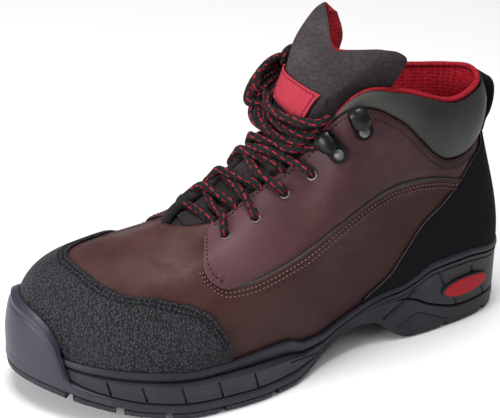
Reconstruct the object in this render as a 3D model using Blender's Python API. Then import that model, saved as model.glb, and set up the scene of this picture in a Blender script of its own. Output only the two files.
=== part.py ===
import math

import bpy
import bmesh
import numpy as np

# Left lace-up safety boot, ankle high. Tables are in millimetres: x runs from heel to toe,
# y to the lateral side, z up from the floor.
MM = 0.001
AROUND = 64
UP = 12
WALL = 2.2
FIT = 0.35
PANEL_FIT = 0.65
OVERLAY = 1.2
COUNTER = 1.3
PAD_EDGE = 1.4
PAD_BULGE = 4.2
LUG_DEPTH = 4.5
LUG_GAP = 4.6
SLIT = 1.2
INSOLE = 4.0
TONGUE_LOW = 3.0
TONGUE_TOP = 6.0
EYELET_RADIUS = 2.5
LACE_RADIUS = 2.3
HOOK_WIDTH = 8.5
LOOP_WIDTH = 14.0
LOOP_THICK = 1.6
BADGE_LONG = 20.0
BADGE_HIGH = 7.5
BADGE_X = 32.0
BADGE_Z = 26.0
LABEL_THICK = 1.2

# One row for each station around the last, from the heel back along the lateral side to the toe
# and back along the medial side: foot outline, side bulge, shoulder below the top line, top line.
LAST_COLUMNS = ("foot_x", "foot_y", "low_out", "low_z", "high_out", "high_dz", "top_x", "top_y", "top_z")
LAST = np.array((
    (-5, 0, 2, 75, -5, -35, 12.5, 0, 148),
    (8.6, 27, 5, 75, -3, -35, 20, 16, 145),
    (56, 36, 5, 75, -2, -38, 48, 30, 145),
    (105, 35, 5, 70, 5, -45, 84, 33, 158),
    (145, 43, 5, 68, 11, -48, 111, 30, 159),
    (190, 50, 6, 57, 22, -36, 135, 18, 125),
    (233, 48, 6, 54, 28, -16, 162, 14, 106),
    (269, 30, 4, 88, 33, -21, 187, 13, 92),
    (292, -7, 2, 89, 46.5, -12, 209, 0, 90),
    (279, -36, 2, 92, 31.5, -36.5, 187, -14, 92),
    (243, -47, 5, 58, 24, -31, 162, -15, 106),
    (208, -48, 6, 57, 22, -36, 135, -18, 125),
    (160, -38, 5, 68, 11, -48, 111, -30, 159),
    (110, -30, 5, 70, 5, -45, 84, -33, 158),
    (58, -33, 5, 75, -2, -38, 48, -30, 146),
    (8.6, -26, 5, 75, -3, -35, 20, -16, 146),
), float)
ROWS = len(LAST)

# One row for each station along the sole: heights of its levels and how far each stands out.
SOLE_COLUMNS = (
    "x", "ground", "part", "floor", "groove", "rand", "rand_out", "band_out", "tread_out", "tread_in",
)
SOLE = np.array((
    (-6, 1.5, 13, 33, 37, 43, 2.6, 2.8, 3.2, 3.5),
    (8, 0, 12, 33, 40, 45, 2.6, 2.8, 3.4, 3),
    (32, 0, 12, 33, 44, 49, 2.6, 2.8, 3.6, 2),
    (56, 0, 19, 33, 43, 48, 2.6, 2.8, 3.6, 2),
    (69, 0, 26, 32, 36.5, 41, 2.6, 2.8, 3.4, 2),
    (77, 3, 27.5, 31, 33, 37, 2.6, 2.8, 3.2, 2),
    (85, 8.5, 27, 30, 31.5, 35.5, 2.6, 2.6, 2.8, 2),
    (93, 14.5, 25.5, 28.5, 29.5, 33.5, 2.6, 2.4, 2.4, 1.5),
    (108, 15.5, 20.5, 24, 24, 28.5, 2.6, 2.4, 2.2, 1.5),
    (121, 12, 15.5, 20.5, 20, 24.5, 2.6, 2.6, 2.6, 1.5),
    (134, 6.5, 11, 17, 16, 21.5, 2.6, 3.4, 3.6, 1.5),
    (146, 2, 9, 14.5, 15.5, 22, 2.8, 5.4, 6.6, 2),
    (158, 0, 8.4, 13.2, 18.5, 27, 3.0, 7.6, 9.2, 2),
    (177, 0, 8.4, 13, 20.5, 28, 3.0, 8.6, 10, 2),
    (195, 0, 8.8, 13, 21.5, 27.5, 3.0, 8.0, 9.2, 2),
    (214, 0, 9.6, 13.4, 22, 27.5, 3.0, 7.2, 8.0, 2),
    (240, 3.6, 13.2, 17, 25, 30.5, 3.0, 6.2, 6.8, 2.5),
    (263, 9.2, 19, 22.5, 28.5, 33.5, 3.0, 5.0, 6.6, 3),
    (279, 13, 24, 27, 30.5, 35, 3.0, 3.2, 7.0, 3.5),
    (292, 15.4, 27, 30, 33, 38, 2.6, 2.6, 7.2, 3.5),
), float)

# Edges of the overlays on the upper: station u around the last, height v from foot to top line.
TOE_CAP_EDGE = (
    (5.14, 0.15), (5.25, 0.20), (5.55, 0.31), (5.93, 0.40), (6.33, 0.435), (6.65, 0.44), (7.05, 0.42),
    (7.38, 0.455), (7.75, 0.525), (8.0, 0.545), (8.47, 0.545), (8.8, 0.575), (9.1, 0.60), (9.5, 0.56),
    (10.0, 0.50), (10.5, 0.42), (10.75, 0.31), (10.95, 0.20), (11.05, 0.15),
)
COUNTER_EDGE = (
    (0.0, 0.985), (0.3, 0.985), (0.4, 0.92), (0.5, 0.85), (0.7, 0.80), (0.9, 0.74), (0.98, 0.67),
    (1.43, 0.60), (1.68, 0.525), (1.95, 0.445), (2.25, 0.365), (2.45, 0.235), (2.6, 0.13), (2.76, 0.08),
)
PAD_LOW_EDGE = (
    (0.32, 0.98), (0.4, 0.94), (0.5, 0.87), (0.7, 0.82), (0.9, 0.76), (1.25, 0.70), (1.62, 0.675),
    (1.95, 0.685), (2.25, 0.73), (2.55, 0.80), (2.93, 0.875), (3.38, 0.918), (4.03, 0.962), (4.2, 0.985),
)
QUARTER_TOP_EDGE = (
    (1.15, 0.688), (1.43, 0.668), (1.7, 0.655), (1.95, 0.665), (2.25, 0.71), (2.55, 0.78), (2.93, 0.855),
    (3.38, 0.90), (4.03, 0.948), (4.3, 0.985), (4.6, 0.995), (7.03, 0.995),
)
QUARTER_LOW_EDGE = (
    (1.15, 0.668), (1.43, 0.62), (1.7, 0.55), (2.08, 0.59), (2.48, 0.605), (2.98, 0.585), (3.62, 0.50),
    (4.28, 0.475), (4.98, 0.495), (5.5, 0.49), (5.78, 0.49), (6.1, 0.53), (6.38, 0.60), (6.7, 0.735),
    (7.03, 0.905),
)
EYELETS = ((6.48, 0.82), (5.95, 0.825), (5.45, 0.885), (4.88, 0.88))
HOOKS = ((4.45, 0.895), (3.95, 0.90))
HOOK_RUN = (0.20, 0.095)
BUMPER_TOP = (
    (7.15, 28), (7.27, 35), (7.38, 45), (7.52, 52), (7.75, 57), (8.0, 59), (8.3, 59.5), (8.55, 57),
    (8.72, 52), (8.85, 45), (8.96, 36), (9.05, 29),
)

# Free part of the tongue above the facings, from the opening up: centre, middle of each side, edge.
TONGUE_COLUMNS = (
    "centre_x", "centre_z", "mid_x", "mid_y", "mid_z", "edge_x", "edge_y", "edge_z",
    "medial_on", "medial_up",
)
TONGUE = np.array((
    (130, 157, 124, 18, 155, 104, 27, 149, 4, 2),
    (123, 168, 109, 25, 169, 92, 31, 164, 9, 4),
    (112, 175, 101, 28, 178, 86, 35.5, 174, 8, 7),
    (105, 179, 97, 28, 183, 84, 36, 178, 6, 8),
), float)
FREE_SHARES = (0.0, 0.5, 0.8, 1.0, 1.5, 2.0, 2.5, 3.0, 3.2, 3.5, 4.0)

# Rise of the tongue between the facings, by station u, and its shape across: share of width, of rise.
TONGUE_CROWN = ((4.5, 15.0), (5.0, 9.5), (6.0, 5.0), (7.5, 3.0))
TONGUE_RIDGE = ((-0.85, 0.8), (-0.45, 0.97), (0.0, 1.0), (0.45, 0.97), (0.85, 0.8))

# Free runs of the lace: row and column on the tongue with the lift over it, then points in the air
# (x, y, z) on the way to the medial side.
LACE_RUNS = (
    (
        ((11.0, 7.6, 3.4), (10.6, 7, 3.4), (10.25, 6, 3.4), (10.1, 5, 3.4), (10.3, 4, 4), (10.85, 3, 5.6)),
        ((142, -26, 134.5), (138, -30, 135)),
    ),
    (
        ((11.65, 7.6, 4.4), (11.35, 7.2, 4.8), (11.0, 6, 4.4), (10.95, 5, 4), (11.05, 4, 4), (11.4, 3, 6)),
        ((146, -27, 140), (142, -34, 144), (134, -39, 150), (127, -39, 154)),
    ),
    (
        ((12.3, 7.8, 4.2), (12, 7.2, 7.2), (11.7, 6, 6.8), (11.6, 5, 6.6), (11.65, 4, 6.6), (11.9, 3, 6.6)),
        ((142, -26, 150), (137, -32, 154), (130, -35, 158)),
    ),
)

# Lug gaps along each edge and slanted slits of the block band, by station x.
LUG_GAPS_LATERAL = (280, 257, 233, 203, 171)
LUG_GAPS_MEDIAL = (276, 252, 226, 196, 168)
LUG_GAPS_HEEL = (45, 14)
CENTRE_GROOVES = (158, 180, 203, 226, 250)
SLITS = (263, 243, 222, 201, 180)
SLIT_LEAN = 15.0

# Side view of the pull loop (x, z) and of a hook (out, along).
LOOP_PATH = ((10.2, 145.4), (5.0, 143.2), (1.6, 138), (0.9, 130), (2.2, 122.5), (4.9, 116.5), (6.25, 110))
HOOK_PATH = ((0.6, -9), (0.6, 4.5), (2.4, 7.4), (5.0, 7.9), (7.0, 6.2), (7.4, 2.0), (6.8, -2.5))


def catmull(rows, u):
    u = np.asarray(u, float)
    count = len(rows)
    i = np.floor(u).astype(int)
    t = (u - i)[..., None]
    a, b, c, d = (rows[(i + k) % count] for k in (-1, 0, 1, 2))
    square = 2 * a - 5 * b + 4 * c - d
    cube = 3 * b - a - 3 * c + d
    return 0.5 * (2 * b + (c - a) * t + square * t ** 2 + cube * t ** 3)


def monotone(xs, ys, x):
    xs = np.asarray(xs, float)
    ys = np.asarray(ys, float)
    gaps = np.diff(xs)
    slopes = np.diff(ys) / gaps
    tangents = np.zeros(len(xs))
    turn = slopes[:-1] * slopes[1:]
    total = np.where(turn > 0, slopes[:-1] + slopes[1:], 1.0)
    tangents[1:-1] = np.where(turn > 0, 2 * turn / total, 0.0)
    tangents[0] = slopes[0]
    tangents[-1] = slopes[-1]
    x = np.clip(x, xs[0], xs[-1])
    i = np.clip(np.searchsorted(xs, x, side="right") - 1, 0, len(xs) - 2)
    t = (x - xs[i]) / gaps[i]
    low = (1 + 2 * t) * (1 - t) ** 2 * ys[i] + t * (1 - t) ** 2 * gaps[i] * tangents[i]
    high = t * t * (3 - 2 * t) * ys[i + 1] + t * t * (t - 1) * gaps[i] * tangents[i + 1]
    return low + high


def level(name, x):
    return monotone(SOLE[:, 0], SOLE[:, SOLE_COLUMNS.index(name)], x)


def edge(table, u):
    pairs = np.array(table)
    return monotone(pairs[:, 0], pairs[:, 1], u)


def outline(u):
    step = 0.02
    row = catmull(LAST, u)
    run = catmull(LAST, np.asarray(u) + step)[..., :2] - catmull(LAST, np.asarray(u) - step)[..., :2]
    out = np.stack((-run[..., 1], run[..., 0], np.zeros(run.shape[:-1])), -1)
    return row, out / np.linalg.norm(out, axis=-1, keepdims=True)


def surface(u, v):
    u, v = np.broadcast_arrays(np.asarray(u, float), np.asarray(v, float))
    row, out = outline(u)
    foot = np.stack((row[..., 0], row[..., 1], level("floor", row[..., 0]) + FIT), -1)
    low = foot + out * row[..., 2:3]
    low[..., 2] = row[..., 3]
    top = row[..., 6:9]
    high = top + out * row[..., 4:5]
    high[..., 2] += row[..., 5]
    t = v[..., None]
    s = 1 - t
    return s ** 3 * foot + 3 * s * s * t * low + 3 * s * t * t * high + t ** 3 * top


def normal(u, v):
    step = 0.004
    v = np.clip(v, step, 1 - step)
    along = surface(u + step, v) - surface(u - step, v)
    rise = surface(u, v + step) - surface(u, v - step)
    out = np.cross(rise, along)
    return out / np.linalg.norm(out, axis=-1, keepdims=True)


def skin(u, v, offset):
    u, v = np.broadcast_arrays(np.asarray(u, float), np.asarray(v, float))
    return surface(u, v) + normal(u, v) * np.asarray(offset, float)[..., None]


def height_at(u, z):
    u, z = np.broadcast_arrays(np.asarray(u, float), np.asarray(z, float))
    low = np.zeros(u.shape)
    high = np.ones(u.shape)
    for _ in range(30):
        middle = (low + high) / 2
        under = surface(u, middle)[..., 2] < z
        low = np.where(under, middle, low)
        high = np.where(under, high, middle)
    return (low + high) / 2


def side(u, z, offset):
    out = outline(u)[1]
    points = surface(u, height_at(u, z)) + out * np.asarray(offset, float)[..., None]
    points[..., 2] = z
    return points


def station(x, start, stop):
    u = np.linspace(start, stop, 400)
    xs = catmull(LAST, u)[:, 0]
    order = np.argsort(xs)
    return float(np.interp(x, xs[order], u[order]))


def grid_faces(columns, rows, base, closed, flip):
    faces = []
    for i in range(columns if closed else columns - 1):
        j = (i + 1) % columns
        for k in range(rows - 1):
            a = base + i * rows + k
            b = base + j * rows + k
            face = [a, b, b + 1, a + 1]
            faces.append([face[0], face[3], face[2], face[1]] if flip else face)
    return faces


def slab(outer, inner, closed=False):
    columns, rows = outer.shape[:2]
    size = columns * rows
    verts = np.concatenate((outer.reshape(-1, 3), inner.reshape(-1, 3)))
    faces = grid_faces(columns, rows, 0, closed, False) + grid_faces(columns, rows, size, closed, True)
    for i in range(columns if closed else columns - 1):
        j = (i + 1) % columns
        for k in (0, rows - 1):
            faces.append([i * rows + k, j * rows + k, size + j * rows + k, size + i * rows + k])
    if not closed:
        for i in (0, columns - 1):
            for k in range(rows - 1):
                a = i * rows + k
                faces.append([a, a + 1, size + a + 1, size + a])
    return verts, faces


def ring_solid(rings):
    count = rings[0].shape[0]
    half = count // 2
    verts = np.concatenate(rings)
    faces = []
    for k in range(len(rings) - 1):
        for i in range(count):
            j = (i + 1) % count
            faces.append([k * count + i, k * count + j, (k + 1) * count + j, (k + 1) * count + i])
    for base in (0, (len(rings) - 1) * count):
        for i in range(half):
            mirror = (count - i) % count
            face = [base + i, base + i + 1, base + count - i - 1, base + mirror]
            faces.append(list(dict.fromkeys(face)))
    return verts, faces


def tube(path, radius, sides=8):
    path = np.asarray(path, float)
    run = np.gradient(path, axis=0)
    run /= np.linalg.norm(run, axis=1, keepdims=True)
    lift = np.array((0.0, 0.0, 1.0))
    verts = []
    for point, way in zip(path, run):
        across = np.cross(way, lift)
        across /= np.linalg.norm(across)
        up = np.cross(across, way)
        for k in range(sides):
            angle = 2 * math.pi * k / sides
            verts.append(point + radius * (math.cos(angle) * across + math.sin(angle) * up))
    faces = []
    for i in range(len(path) - 1):
        for k in range(sides):
            m = (k + 1) % sides
            faces.append([i * sides + k, i * sides + m, (i + 1) * sides + m, (i + 1) * sides + k])
    faces.append(list(range(sides)))
    faces.append([(len(path) - 1) * sides + k for k in range(sides)])
    return np.array(verts), faces


def along_path(points, shares):
    points = np.asarray(points, float)
    ends = np.concatenate((2 * points[:1] - points[1:2], points, 2 * points[-1:] - points[-2:-1]))
    return catmull(ends, 1 + np.minimum(shares, len(points) - 1 - 1e-9))


def smooth_path(points, steps):
    return along_path(points, np.linspace(0, len(points) - 1, (len(points) - 1) * steps + 1))


def ribbon(path, width_axis, width, thick):
    path = np.asarray(path, float)
    run = np.gradient(path, axis=0)
    run /= np.linalg.norm(run, axis=1, keepdims=True)
    lift = np.cross(run, width_axis)
    lift /= np.linalg.norm(lift, axis=1, keepdims=True)
    half = np.asarray(width_axis) * width / 2
    outer = np.stack((path + lift * thick / 2 - half, path + lift * thick / 2 + half), 1)
    inner = np.stack((path - lift * thick / 2 - half, path - lift * thick / 2 + half), 1)
    return slab(outer, inner)


def box(centre, axes, sizes):
    verts = []
    for a in (-1, 1):
        for b in (-1, 1):
            for c in (-1, 1):
                corner = a * sizes[0] * axes[0] + b * sizes[1] * axes[1] + c * sizes[2] * axes[2]
                verts.append(centre + corner / 2)
    faces = [[0, 1, 3, 2], [4, 6, 7, 5], [0, 4, 5, 1], [2, 3, 7, 6], [0, 2, 6, 4], [1, 5, 7, 3]]
    return np.array(verts), faces


def joined(meshes):
    verts = []
    faces = []
    for points, polygons in meshes:
        base = sum(len(v) for v in verts)
        verts.append(points)
        faces += [[base + index for index in polygon] for polygon in polygons]
    return np.concatenate(verts), faces


def overlay(u, low, high, rows, inner, outer):
    share = np.linspace(0, 1, rows)[None, :]
    v = low[:, None] + (high - low)[:, None] * share
    grid = np.broadcast_to(u[:, None], v.shape)
    proud = np.broadcast_to(outer(grid, share), v.shape)
    return slab(skin(grid, v, proud), skin(grid, v, np.full(v.shape, inner)))


def stations(start, stop, step=ROWS / AROUND):
    inside = np.arange(math.floor(start / step) + 1, math.ceil(stop / step)) * step
    return np.concatenate(((start,), inside[np.abs(inside - start) > 0.03], (stop,)))


def above_rand(u):
    return height_at(u, level("rand", catmull(LAST, u)[..., 0]) + FIT)


around = np.arange(AROUND) * ROWS / AROUND
foot_x = catmull(LAST, around)[:, 0]
solids = {}
cutters = {}

# Upper: hollow shell between the surface of the last and its wall inside.
shell_v = np.linspace(0, 1, UP)[None, :]
shell_u = np.broadcast_to(around[:, None], (AROUND, UP))
solids["upper"] = slab(
    surface(shell_u, shell_v),
    skin(shell_u, shell_v, np.full((AROUND, UP), -WALL)),
    closed=True,
)

# Midsole: cup floor, rand, groove, block band and the parting groove under it.
rand = level("rand", foot_x)
groove = level("groove", foot_x)
part = level("part", foot_x)
floor = level("floor", foot_x)
ground = level("ground", foot_x)
rand_out = level("rand_out", foot_x)
band_out = level("band_out", foot_x)
tread_out = level("tread_out", foot_x)
band_top = side(around, groove - 0.6, band_out)
band_low = side(around, part + 1.0, band_out + 0.5)
solids["midsole"] = ring_solid((
    side(around, floor, np.full(AROUND, FIT)),
    side(around, (floor + rand) / 2, np.full(AROUND, FIT)),
    side(around, rand, np.full(AROUND, FIT)),
    side(around, rand - 0.3, rand_out),
    side(around, groove + 1.4, rand_out + 0.5),
    side(around, groove + 0.4, rand_out - 1.0),
    band_top,
    band_low,
    side(around, part + 0.5, band_out - 1.0),
    side(around, part + 0.15, band_out - 1.2),
))

# Outsole: lower band and tread, with lug gaps cut from its edges and its middle.
lug = np.minimum(LUG_DEPTH + 0.5, 0.45 * (part - ground))
solids["outsole"] = ring_solid((
    side(around, part - 0.15, tread_out - 1.2),
    side(around, part - 1.0, tread_out),
    side(around, ground + lug, tread_out + 0.4),
    side(around, ground, tread_out - level("tread_in", foot_x)),
))


def gap_cutter(u, depth, reach, width):
    x = float(catmull(LAST, u)[0])
    out = outline(u)[1]
    along = np.array((-out[1], out[0], 0.0))
    edge_point = side(np.array(u), level("ground", x), level("tread_out", x))
    centre = edge_point + out * (4 - reach / 2)
    centre[2] += depth - 10
    return box(centre, (out, along, np.array((0.0, 0.0, 1.0))), (reach + 8, width, 20))


gaps = [gap_cutter(station(x, 2.6, 8.0), LUG_DEPTH, 20, LUG_GAP) for x in LUG_GAPS_LATERAL]
gaps += [gap_cutter(station(x, 13.4, 8.0), LUG_DEPTH, 20, LUG_GAP) for x in LUG_GAPS_MEDIAL]
gaps += [gap_cutter(station(x, 0.2, 3.0), 2.6, 14, LUG_GAP) for x in LUG_GAPS_HEEL]
gaps += [gap_cutter(station(x, 15.8, 13.0), 2.6, 14, LUG_GAP) for x in LUG_GAPS_HEEL]
for x in CENTRE_GROOVES:
    middle = np.array((x, 2.0, level("ground", x) + LUG_DEPTH - 11))
    gaps.append(box(middle, np.eye(3), (LUG_GAP, 36, 20)))
cutters["outsole"] = joined(gaps)


def slit_cutter(u):
    x = float(catmull(LAST, u)[0])
    out = outline(u)[1]
    way = np.array((-out[1], out[0], 0.0))
    if way[0] > 0:
        way = -way
    lean = math.radians(SLIT_LEAN)
    down = np.array((0.0, 0.0, -math.cos(lean))) + way * math.sin(lean)
    middle = (level("groove", x) + level("part", x)) / 2
    centre = side(np.array(u), middle, level("band_out", x) + 1.2)
    high = level("groove", x) - level("part", x) - 1.5
    return box(centre, (out, np.cross(down, out), down), (5.0, SLIT, high))


slits = [slit_cutter(station(x, 2.6, 8.0)) for x in SLITS]
slits += [slit_cutter(station(x, 13.4, 8.0)) for x in SLITS]
cutters["midsole"] = joined(slits)

# Insole: footbed inside the wall of the upper, on the cup floor.
inside = np.full(AROUND, -WALL - 0.5)
solids["insole"] = ring_solid((
    side(around, floor + 0.4, inside),
    side(around, floor + 0.4 + INSOLE, inside - 0.6),
))

# Toe bumper: rises from the outsole in front of midsole and toe cap.
bumper_u = np.linspace(BUMPER_TOP[0][0], BUMPER_TOP[-1][0], 25)
bumper_x = catmull(LAST, bumper_u)[:, 0]
bumper_low = level("part", bumper_x) + 0.15
bumper_high = edge(BUMPER_TOP, bumper_u)
bumper_share = np.array((0.0, 0.3, 0.6, 0.86, 1.0))
bumper_proud = np.array((0.0, -0.3, -0.8, -1.2, -2.2))
bumper_z = bumper_low[:, None] + (bumper_high - bumper_low)[:, None] * bumper_share[None, :]
bumper_grid = np.broadcast_to(bumper_u[:, None], bumper_z.shape)
bumper_inner = np.maximum(3.6, level("band_out", bumper_x) + 0.9)[:, None] + 0 * bumper_z
bumper_outer = level("tread_out", bumper_x)[:, None] + bumper_proud[None, :]
solids["toe_bumper"] = slab(
    side(bumper_grid, bumper_z, bumper_outer),
    side(bumper_grid, bumper_z, bumper_inner),
)

# Overlays of the upper.
cap_u = stations(TOE_CAP_EDGE[0][0], TOE_CAP_EDGE[-1][0])
cap_low = above_rand(cap_u)
cap_high = np.maximum(edge(TOE_CAP_EDGE, cap_u), cap_low + 0.02)
counter_out = PANEL_FIT + COUNTER
solids["toe_cap"] = overlay(cap_u, cap_low, cap_high, 7, PANEL_FIT, lambda u, s: counter_out + 0 * u)

counter_u = stations(-COUNTER_EDGE[-1][0], COUNTER_EDGE[-1][0])
counter_low = above_rand(counter_u)
counter_high = np.maximum(edge(COUNTER_EDGE, np.abs(counter_u)), counter_low + 0.02)
solids["heel_counter"] = overlay(
    counter_u, counter_low, counter_high, 8, PANEL_FIT, lambda u, s: counter_out + 0 * u
)


def pad_outer(u, share):
    width = np.clip((0.985 - edge(PAD_LOW_EDGE, u)) / 0.2, 0.05, 1)
    return FIT + PAD_EDGE + PAD_BULGE * width * np.sin(math.pi * share) ** 0.8


pad_u = stations(PAD_LOW_EDGE[0][0], PAD_LOW_EDGE[-1][0])
pad_low = edge(PAD_LOW_EDGE, pad_u)
pad_high = np.full(len(pad_u), 0.998)
lateral_pad = overlay(pad_u, pad_low, pad_high, 6, FIT, pad_outer)
medial_pad = overlay(-pad_u[::-1], pad_low[::-1], pad_high, 6, FIT, lambda u, s: pad_outer(-u, s))
solids["collar_pad_lateral"] = lateral_pad
solids["collar_pad_medial"] = medial_pad

quarter_u = stations(QUARTER_LOW_EDGE[0][0], QUARTER_LOW_EDGE[-1][0])
quarter_low = edge(QUARTER_LOW_EDGE, quarter_u)
quarter_high = edge(QUARTER_TOP_EDGE, quarter_u)
quarter_out = PANEL_FIT + OVERLAY
solids["quarter_lateral"] = overlay(
    quarter_u, quarter_low, quarter_high, 9, PANEL_FIT, lambda u, s: quarter_out + 0 * u
)
solids["quarter_medial"] = overlay(
    -quarter_u[::-1], quarter_low[::-1], quarter_high[::-1], 9, PANEL_FIT, lambda u, s: quarter_out + 0 * u
)


def peg(u, v, radius, length):
    centre = surface(u, v)
    way = normal(np.array(u), np.array(v))
    return tube((centre - way * length / 2, centre + way * length / 2), radius, 12)


lateral_pegs = [peg(u, v, EYELET_RADIUS, 12) for u, v in EYELETS]
medial_pegs = [peg(-u, v, EYELET_RADIUS, 12) for u, v in EYELETS]
cutters["quarter_lateral"] = joined(lateral_pegs)
cutters["quarter_medial"] = joined(medial_pegs)
cutters["upper"] = joined(lateral_pegs + medial_pegs)

# Tongue: under the facings from the surface of the upper, above them from its own table.
facing_u = np.arange(7.5, 4.4, -ROWS / AROUND)
facing_v = np.array((0.84, 0.92, 1.0))
rows = []
for u in facing_u:
    drop = np.full(3, -WALL - 0.6)
    lateral = skin(np.full(3, u), facing_v, drop)
    medial = skin(np.full(3, -u), facing_v, drop)
    lift = normal(np.array(u), np.array(1.0)) + normal(np.array(-u), np.array(1.0))
    crown = edge(TONGUE_CROWN, u) * lift / np.linalg.norm(lift)
    middle = (lateral[2] + medial[2]) / 2
    ridge = [middle + share * (lateral[2] - middle) + rise * crown for share, rise in TONGUE_RIDGE]
    rows.append(np.concatenate((medial, ridge, lateral[::-1])))
for centre_x, centre_z, mid_x, mid_y, mid_z, edge_x, edge_y, edge_z, on, up in TONGUE:
    anchors = np.array((
        (edge_x + on / 2, 3 - edge_y, edge_z + up),
        (mid_x + on, -mid_y, mid_z + up),
        (centre_x, 0.0, centre_z),
        (mid_x, mid_y, mid_z),
        (edge_x, edge_y, edge_z),
    ))
    rows.append(along_path(anchors, np.array(FREE_SHARES)))
tongue_outer = np.array(rows)
tongue_along = np.gradient(tongue_outer, axis=0)
tongue_across = np.gradient(tongue_outer, axis=1)
tongue_normal = np.cross(tongue_across, tongue_along)
tongue_normal /= np.linalg.norm(tongue_normal, axis=2, keepdims=True)
if tongue_normal[5, 5, 2] < 0:
    tongue_normal = -tongue_normal
tongue_rows = (0, len(facing_u), len(rows) - 1)
tongue_thick = np.interp(np.arange(len(rows)), tongue_rows, (TONGUE_LOW, TONGUE_LOW, TONGUE_TOP))
tongue_inner = tongue_outer - tongue_normal * tongue_thick[:, None, None]
solids["tongue"] = slab(tongue_outer, tongue_inner)

# Bare label on the front of the tongue.
label_rows = len(facing_u) - 1 + np.array((-0.5, 0.0, 0.5, 1.0, 1.3))
label_columns = np.array((3.0, 3.5, 4.0, 4.5, 5.0, 5.5, 6.0, 6.5, 6.9))


def tongue_at(row, column, offset):
    i = min(int(row), len(rows) - 2)
    k = min(int(column), tongue_outer.shape[1] - 2)
    a = row - i
    b = column - k
    weights = ((1 - a) * (1 - b), a * (1 - b), (1 - a) * b, a * b)
    corners = ((i, k), (i + 1, k), (i, k + 1), (i + 1, k + 1))
    point = sum(w * tongue_outer[c] for w, c in zip(weights, corners))
    way = sum(w * tongue_normal[c] for w, c in zip(weights, corners))
    return point + offset * way / np.linalg.norm(way)


label_outer = np.array([[tongue_at(r, c, 1.3 + LABEL_THICK) for c in label_columns] for r in label_rows])
label_inner = np.array([[tongue_at(r, c, 1.3) for c in label_columns] for r in label_rows])
solids["tongue_label"] = slab(label_outer, label_inner)

# Pull loop at the back of the collar.
loop_path = smooth_path([(x, 0.0, z) for x, z in LOOP_PATH], 3)
solids["pull_loop"] = ribbon(loop_path, np.array((0.0, 1.0, 0.0)), LOOP_WIDTH, LOOP_THICK)

# Speed hooks: a foot on the quarter that bends out and back over itself.
for index, (u, v) in enumerate(HOOKS):
    for name, sign in (("lateral", 1), ("medial", -1)):
        at = np.array(sign * u)
        foot = skin(at, np.array(v), quarter_out + 0.7)
        out = normal(at, np.array(v))
        run = np.array(HOOK_RUN) / 4
        way = surface(sign * (u + run[0]), v + run[1]) - surface(sign * (u - run[0]), v - run[1])
        across = np.cross(way, out)
        across /= np.linalg.norm(across)
        way = np.cross(out, across)
        path = smooth_path([foot + out * a + way * b for a, b in HOOK_PATH], 2)
        solids[f"hook_{name}_{index + 1}"] = ribbon(path, across, HOOK_WIDTH, 1.2)

# Oval badge on the lateral side of the heel, bare.
badge_rings = np.array((0.5, 1.0))
badge_verts = []


def heel_side(x, z, offset):
    u = station(x, 0.5, 2.6)
    z_top = level("groove", x) - 0.6
    z_low = level("part", x) + 1.0
    share = (z - z_low) / (z_top - z_low)
    out = outline(u)[1]
    low = side(np.array(u), z_low, level("band_out", x) + 0.5)
    high = side(np.array(u), z_top, level("band_out", x))
    return low + (high - low) * share + out * offset


badge_sides = 24
for offset in (0.4, 1.6):
    badge_verts.append(heel_side(BADGE_X, BADGE_Z, offset))
    for ring in badge_rings:
        for k in range(badge_sides):
            angle = 2 * math.pi * k / badge_sides
            x = BADGE_X + ring * BADGE_LONG * math.cos(angle)
            z = BADGE_Z + ring * BADGE_HIGH * math.sin(angle)
            badge_verts.append(heel_side(x, z, offset))
badge_faces = []
layer = 1 + badge_sides * len(badge_rings)
for base in (0, layer):
    for k in range(badge_sides):
        m = (k + 1) % badge_sides
        badge_faces.append([base, base + 1 + k, base + 1 + m])
        for ring in range(len(badge_rings) - 1):
            a = base + 1 + ring * badge_sides
            badge_faces.append([a + k, a + badge_sides + k, a + badge_sides + m, a + m])
last_ring = 1 + badge_sides * (len(badge_rings) - 1)
for k in range(badge_sides):
    m = (k + 1) % badge_sides
    badge_faces.append([last_ring + k, last_ring + m, layer + last_ring + m, layer + last_ring + k])
solids["heel_badge"] = (np.array(badge_verts), badge_faces)

# Lace: crossings between the eyelets as one joined solid, free runs as cords.


def strand(start, stop):
    sides = []
    for u, v in (start, stop):
        heights = np.array((v, (v + 0.97) / 2, 0.97))
        lifts = quarter_out + LACE_RADIUS + np.array((0.5, 2.4, 5.0))
        sides.append(skin(np.full(3, u), heights, lifts))
    lift = normal(np.array(start[0]), np.array(1.0)) + normal(np.array(stop[0]), np.array(1.0))
    middle = (sides[0][2] + sides[1][2]) / 2 + 5.5 * lift / np.linalg.norm(lift)
    path = smooth_path(np.concatenate((sides[0], middle[None, :], sides[1][::-1])), 1)
    return tube(path, LACE_RADIUS, 6)


strands = []
for low, high in zip(EYELETS[:-1], EYELETS[1:]):
    strands.append(strand(low, (-high[0], high[1])))
    strands.append(strand((-low[0], low[1]), high))
solids["lace_crossings"] = strands[0]

COLOURS = {
    "upper": (0.075, 0.032, 0.026),
    "quarter": (0.085, 0.034, 0.034),
    "toe_cap": (0.016, 0.016, 0.018),
    "heel_counter": (0.012, 0.012, 0.013),
    "collar_pad": (0.062, 0.064, 0.058),
    "tongue": (0.052, 0.044, 0.042),
    "tongue_label": (0.42, 0.016, 0.03),
    "heel_badge": (0.32, 0.012, 0.018),
    "hook": (0.02, 0.02, 0.022),
    "lace": (0.014, 0.012, 0.013),
    "pull_loop": (0.012, 0.012, 0.013),
    "insole": (0.05, 0.05, 0.052),
    "sole": (0.028, 0.028, 0.032),
}


def colour_of(name):
    for key in sorted(COLOURS, key=len, reverse=True):
        if name.startswith(key):
            return COLOURS[key]
    return COLOURS["sole"]


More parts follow.
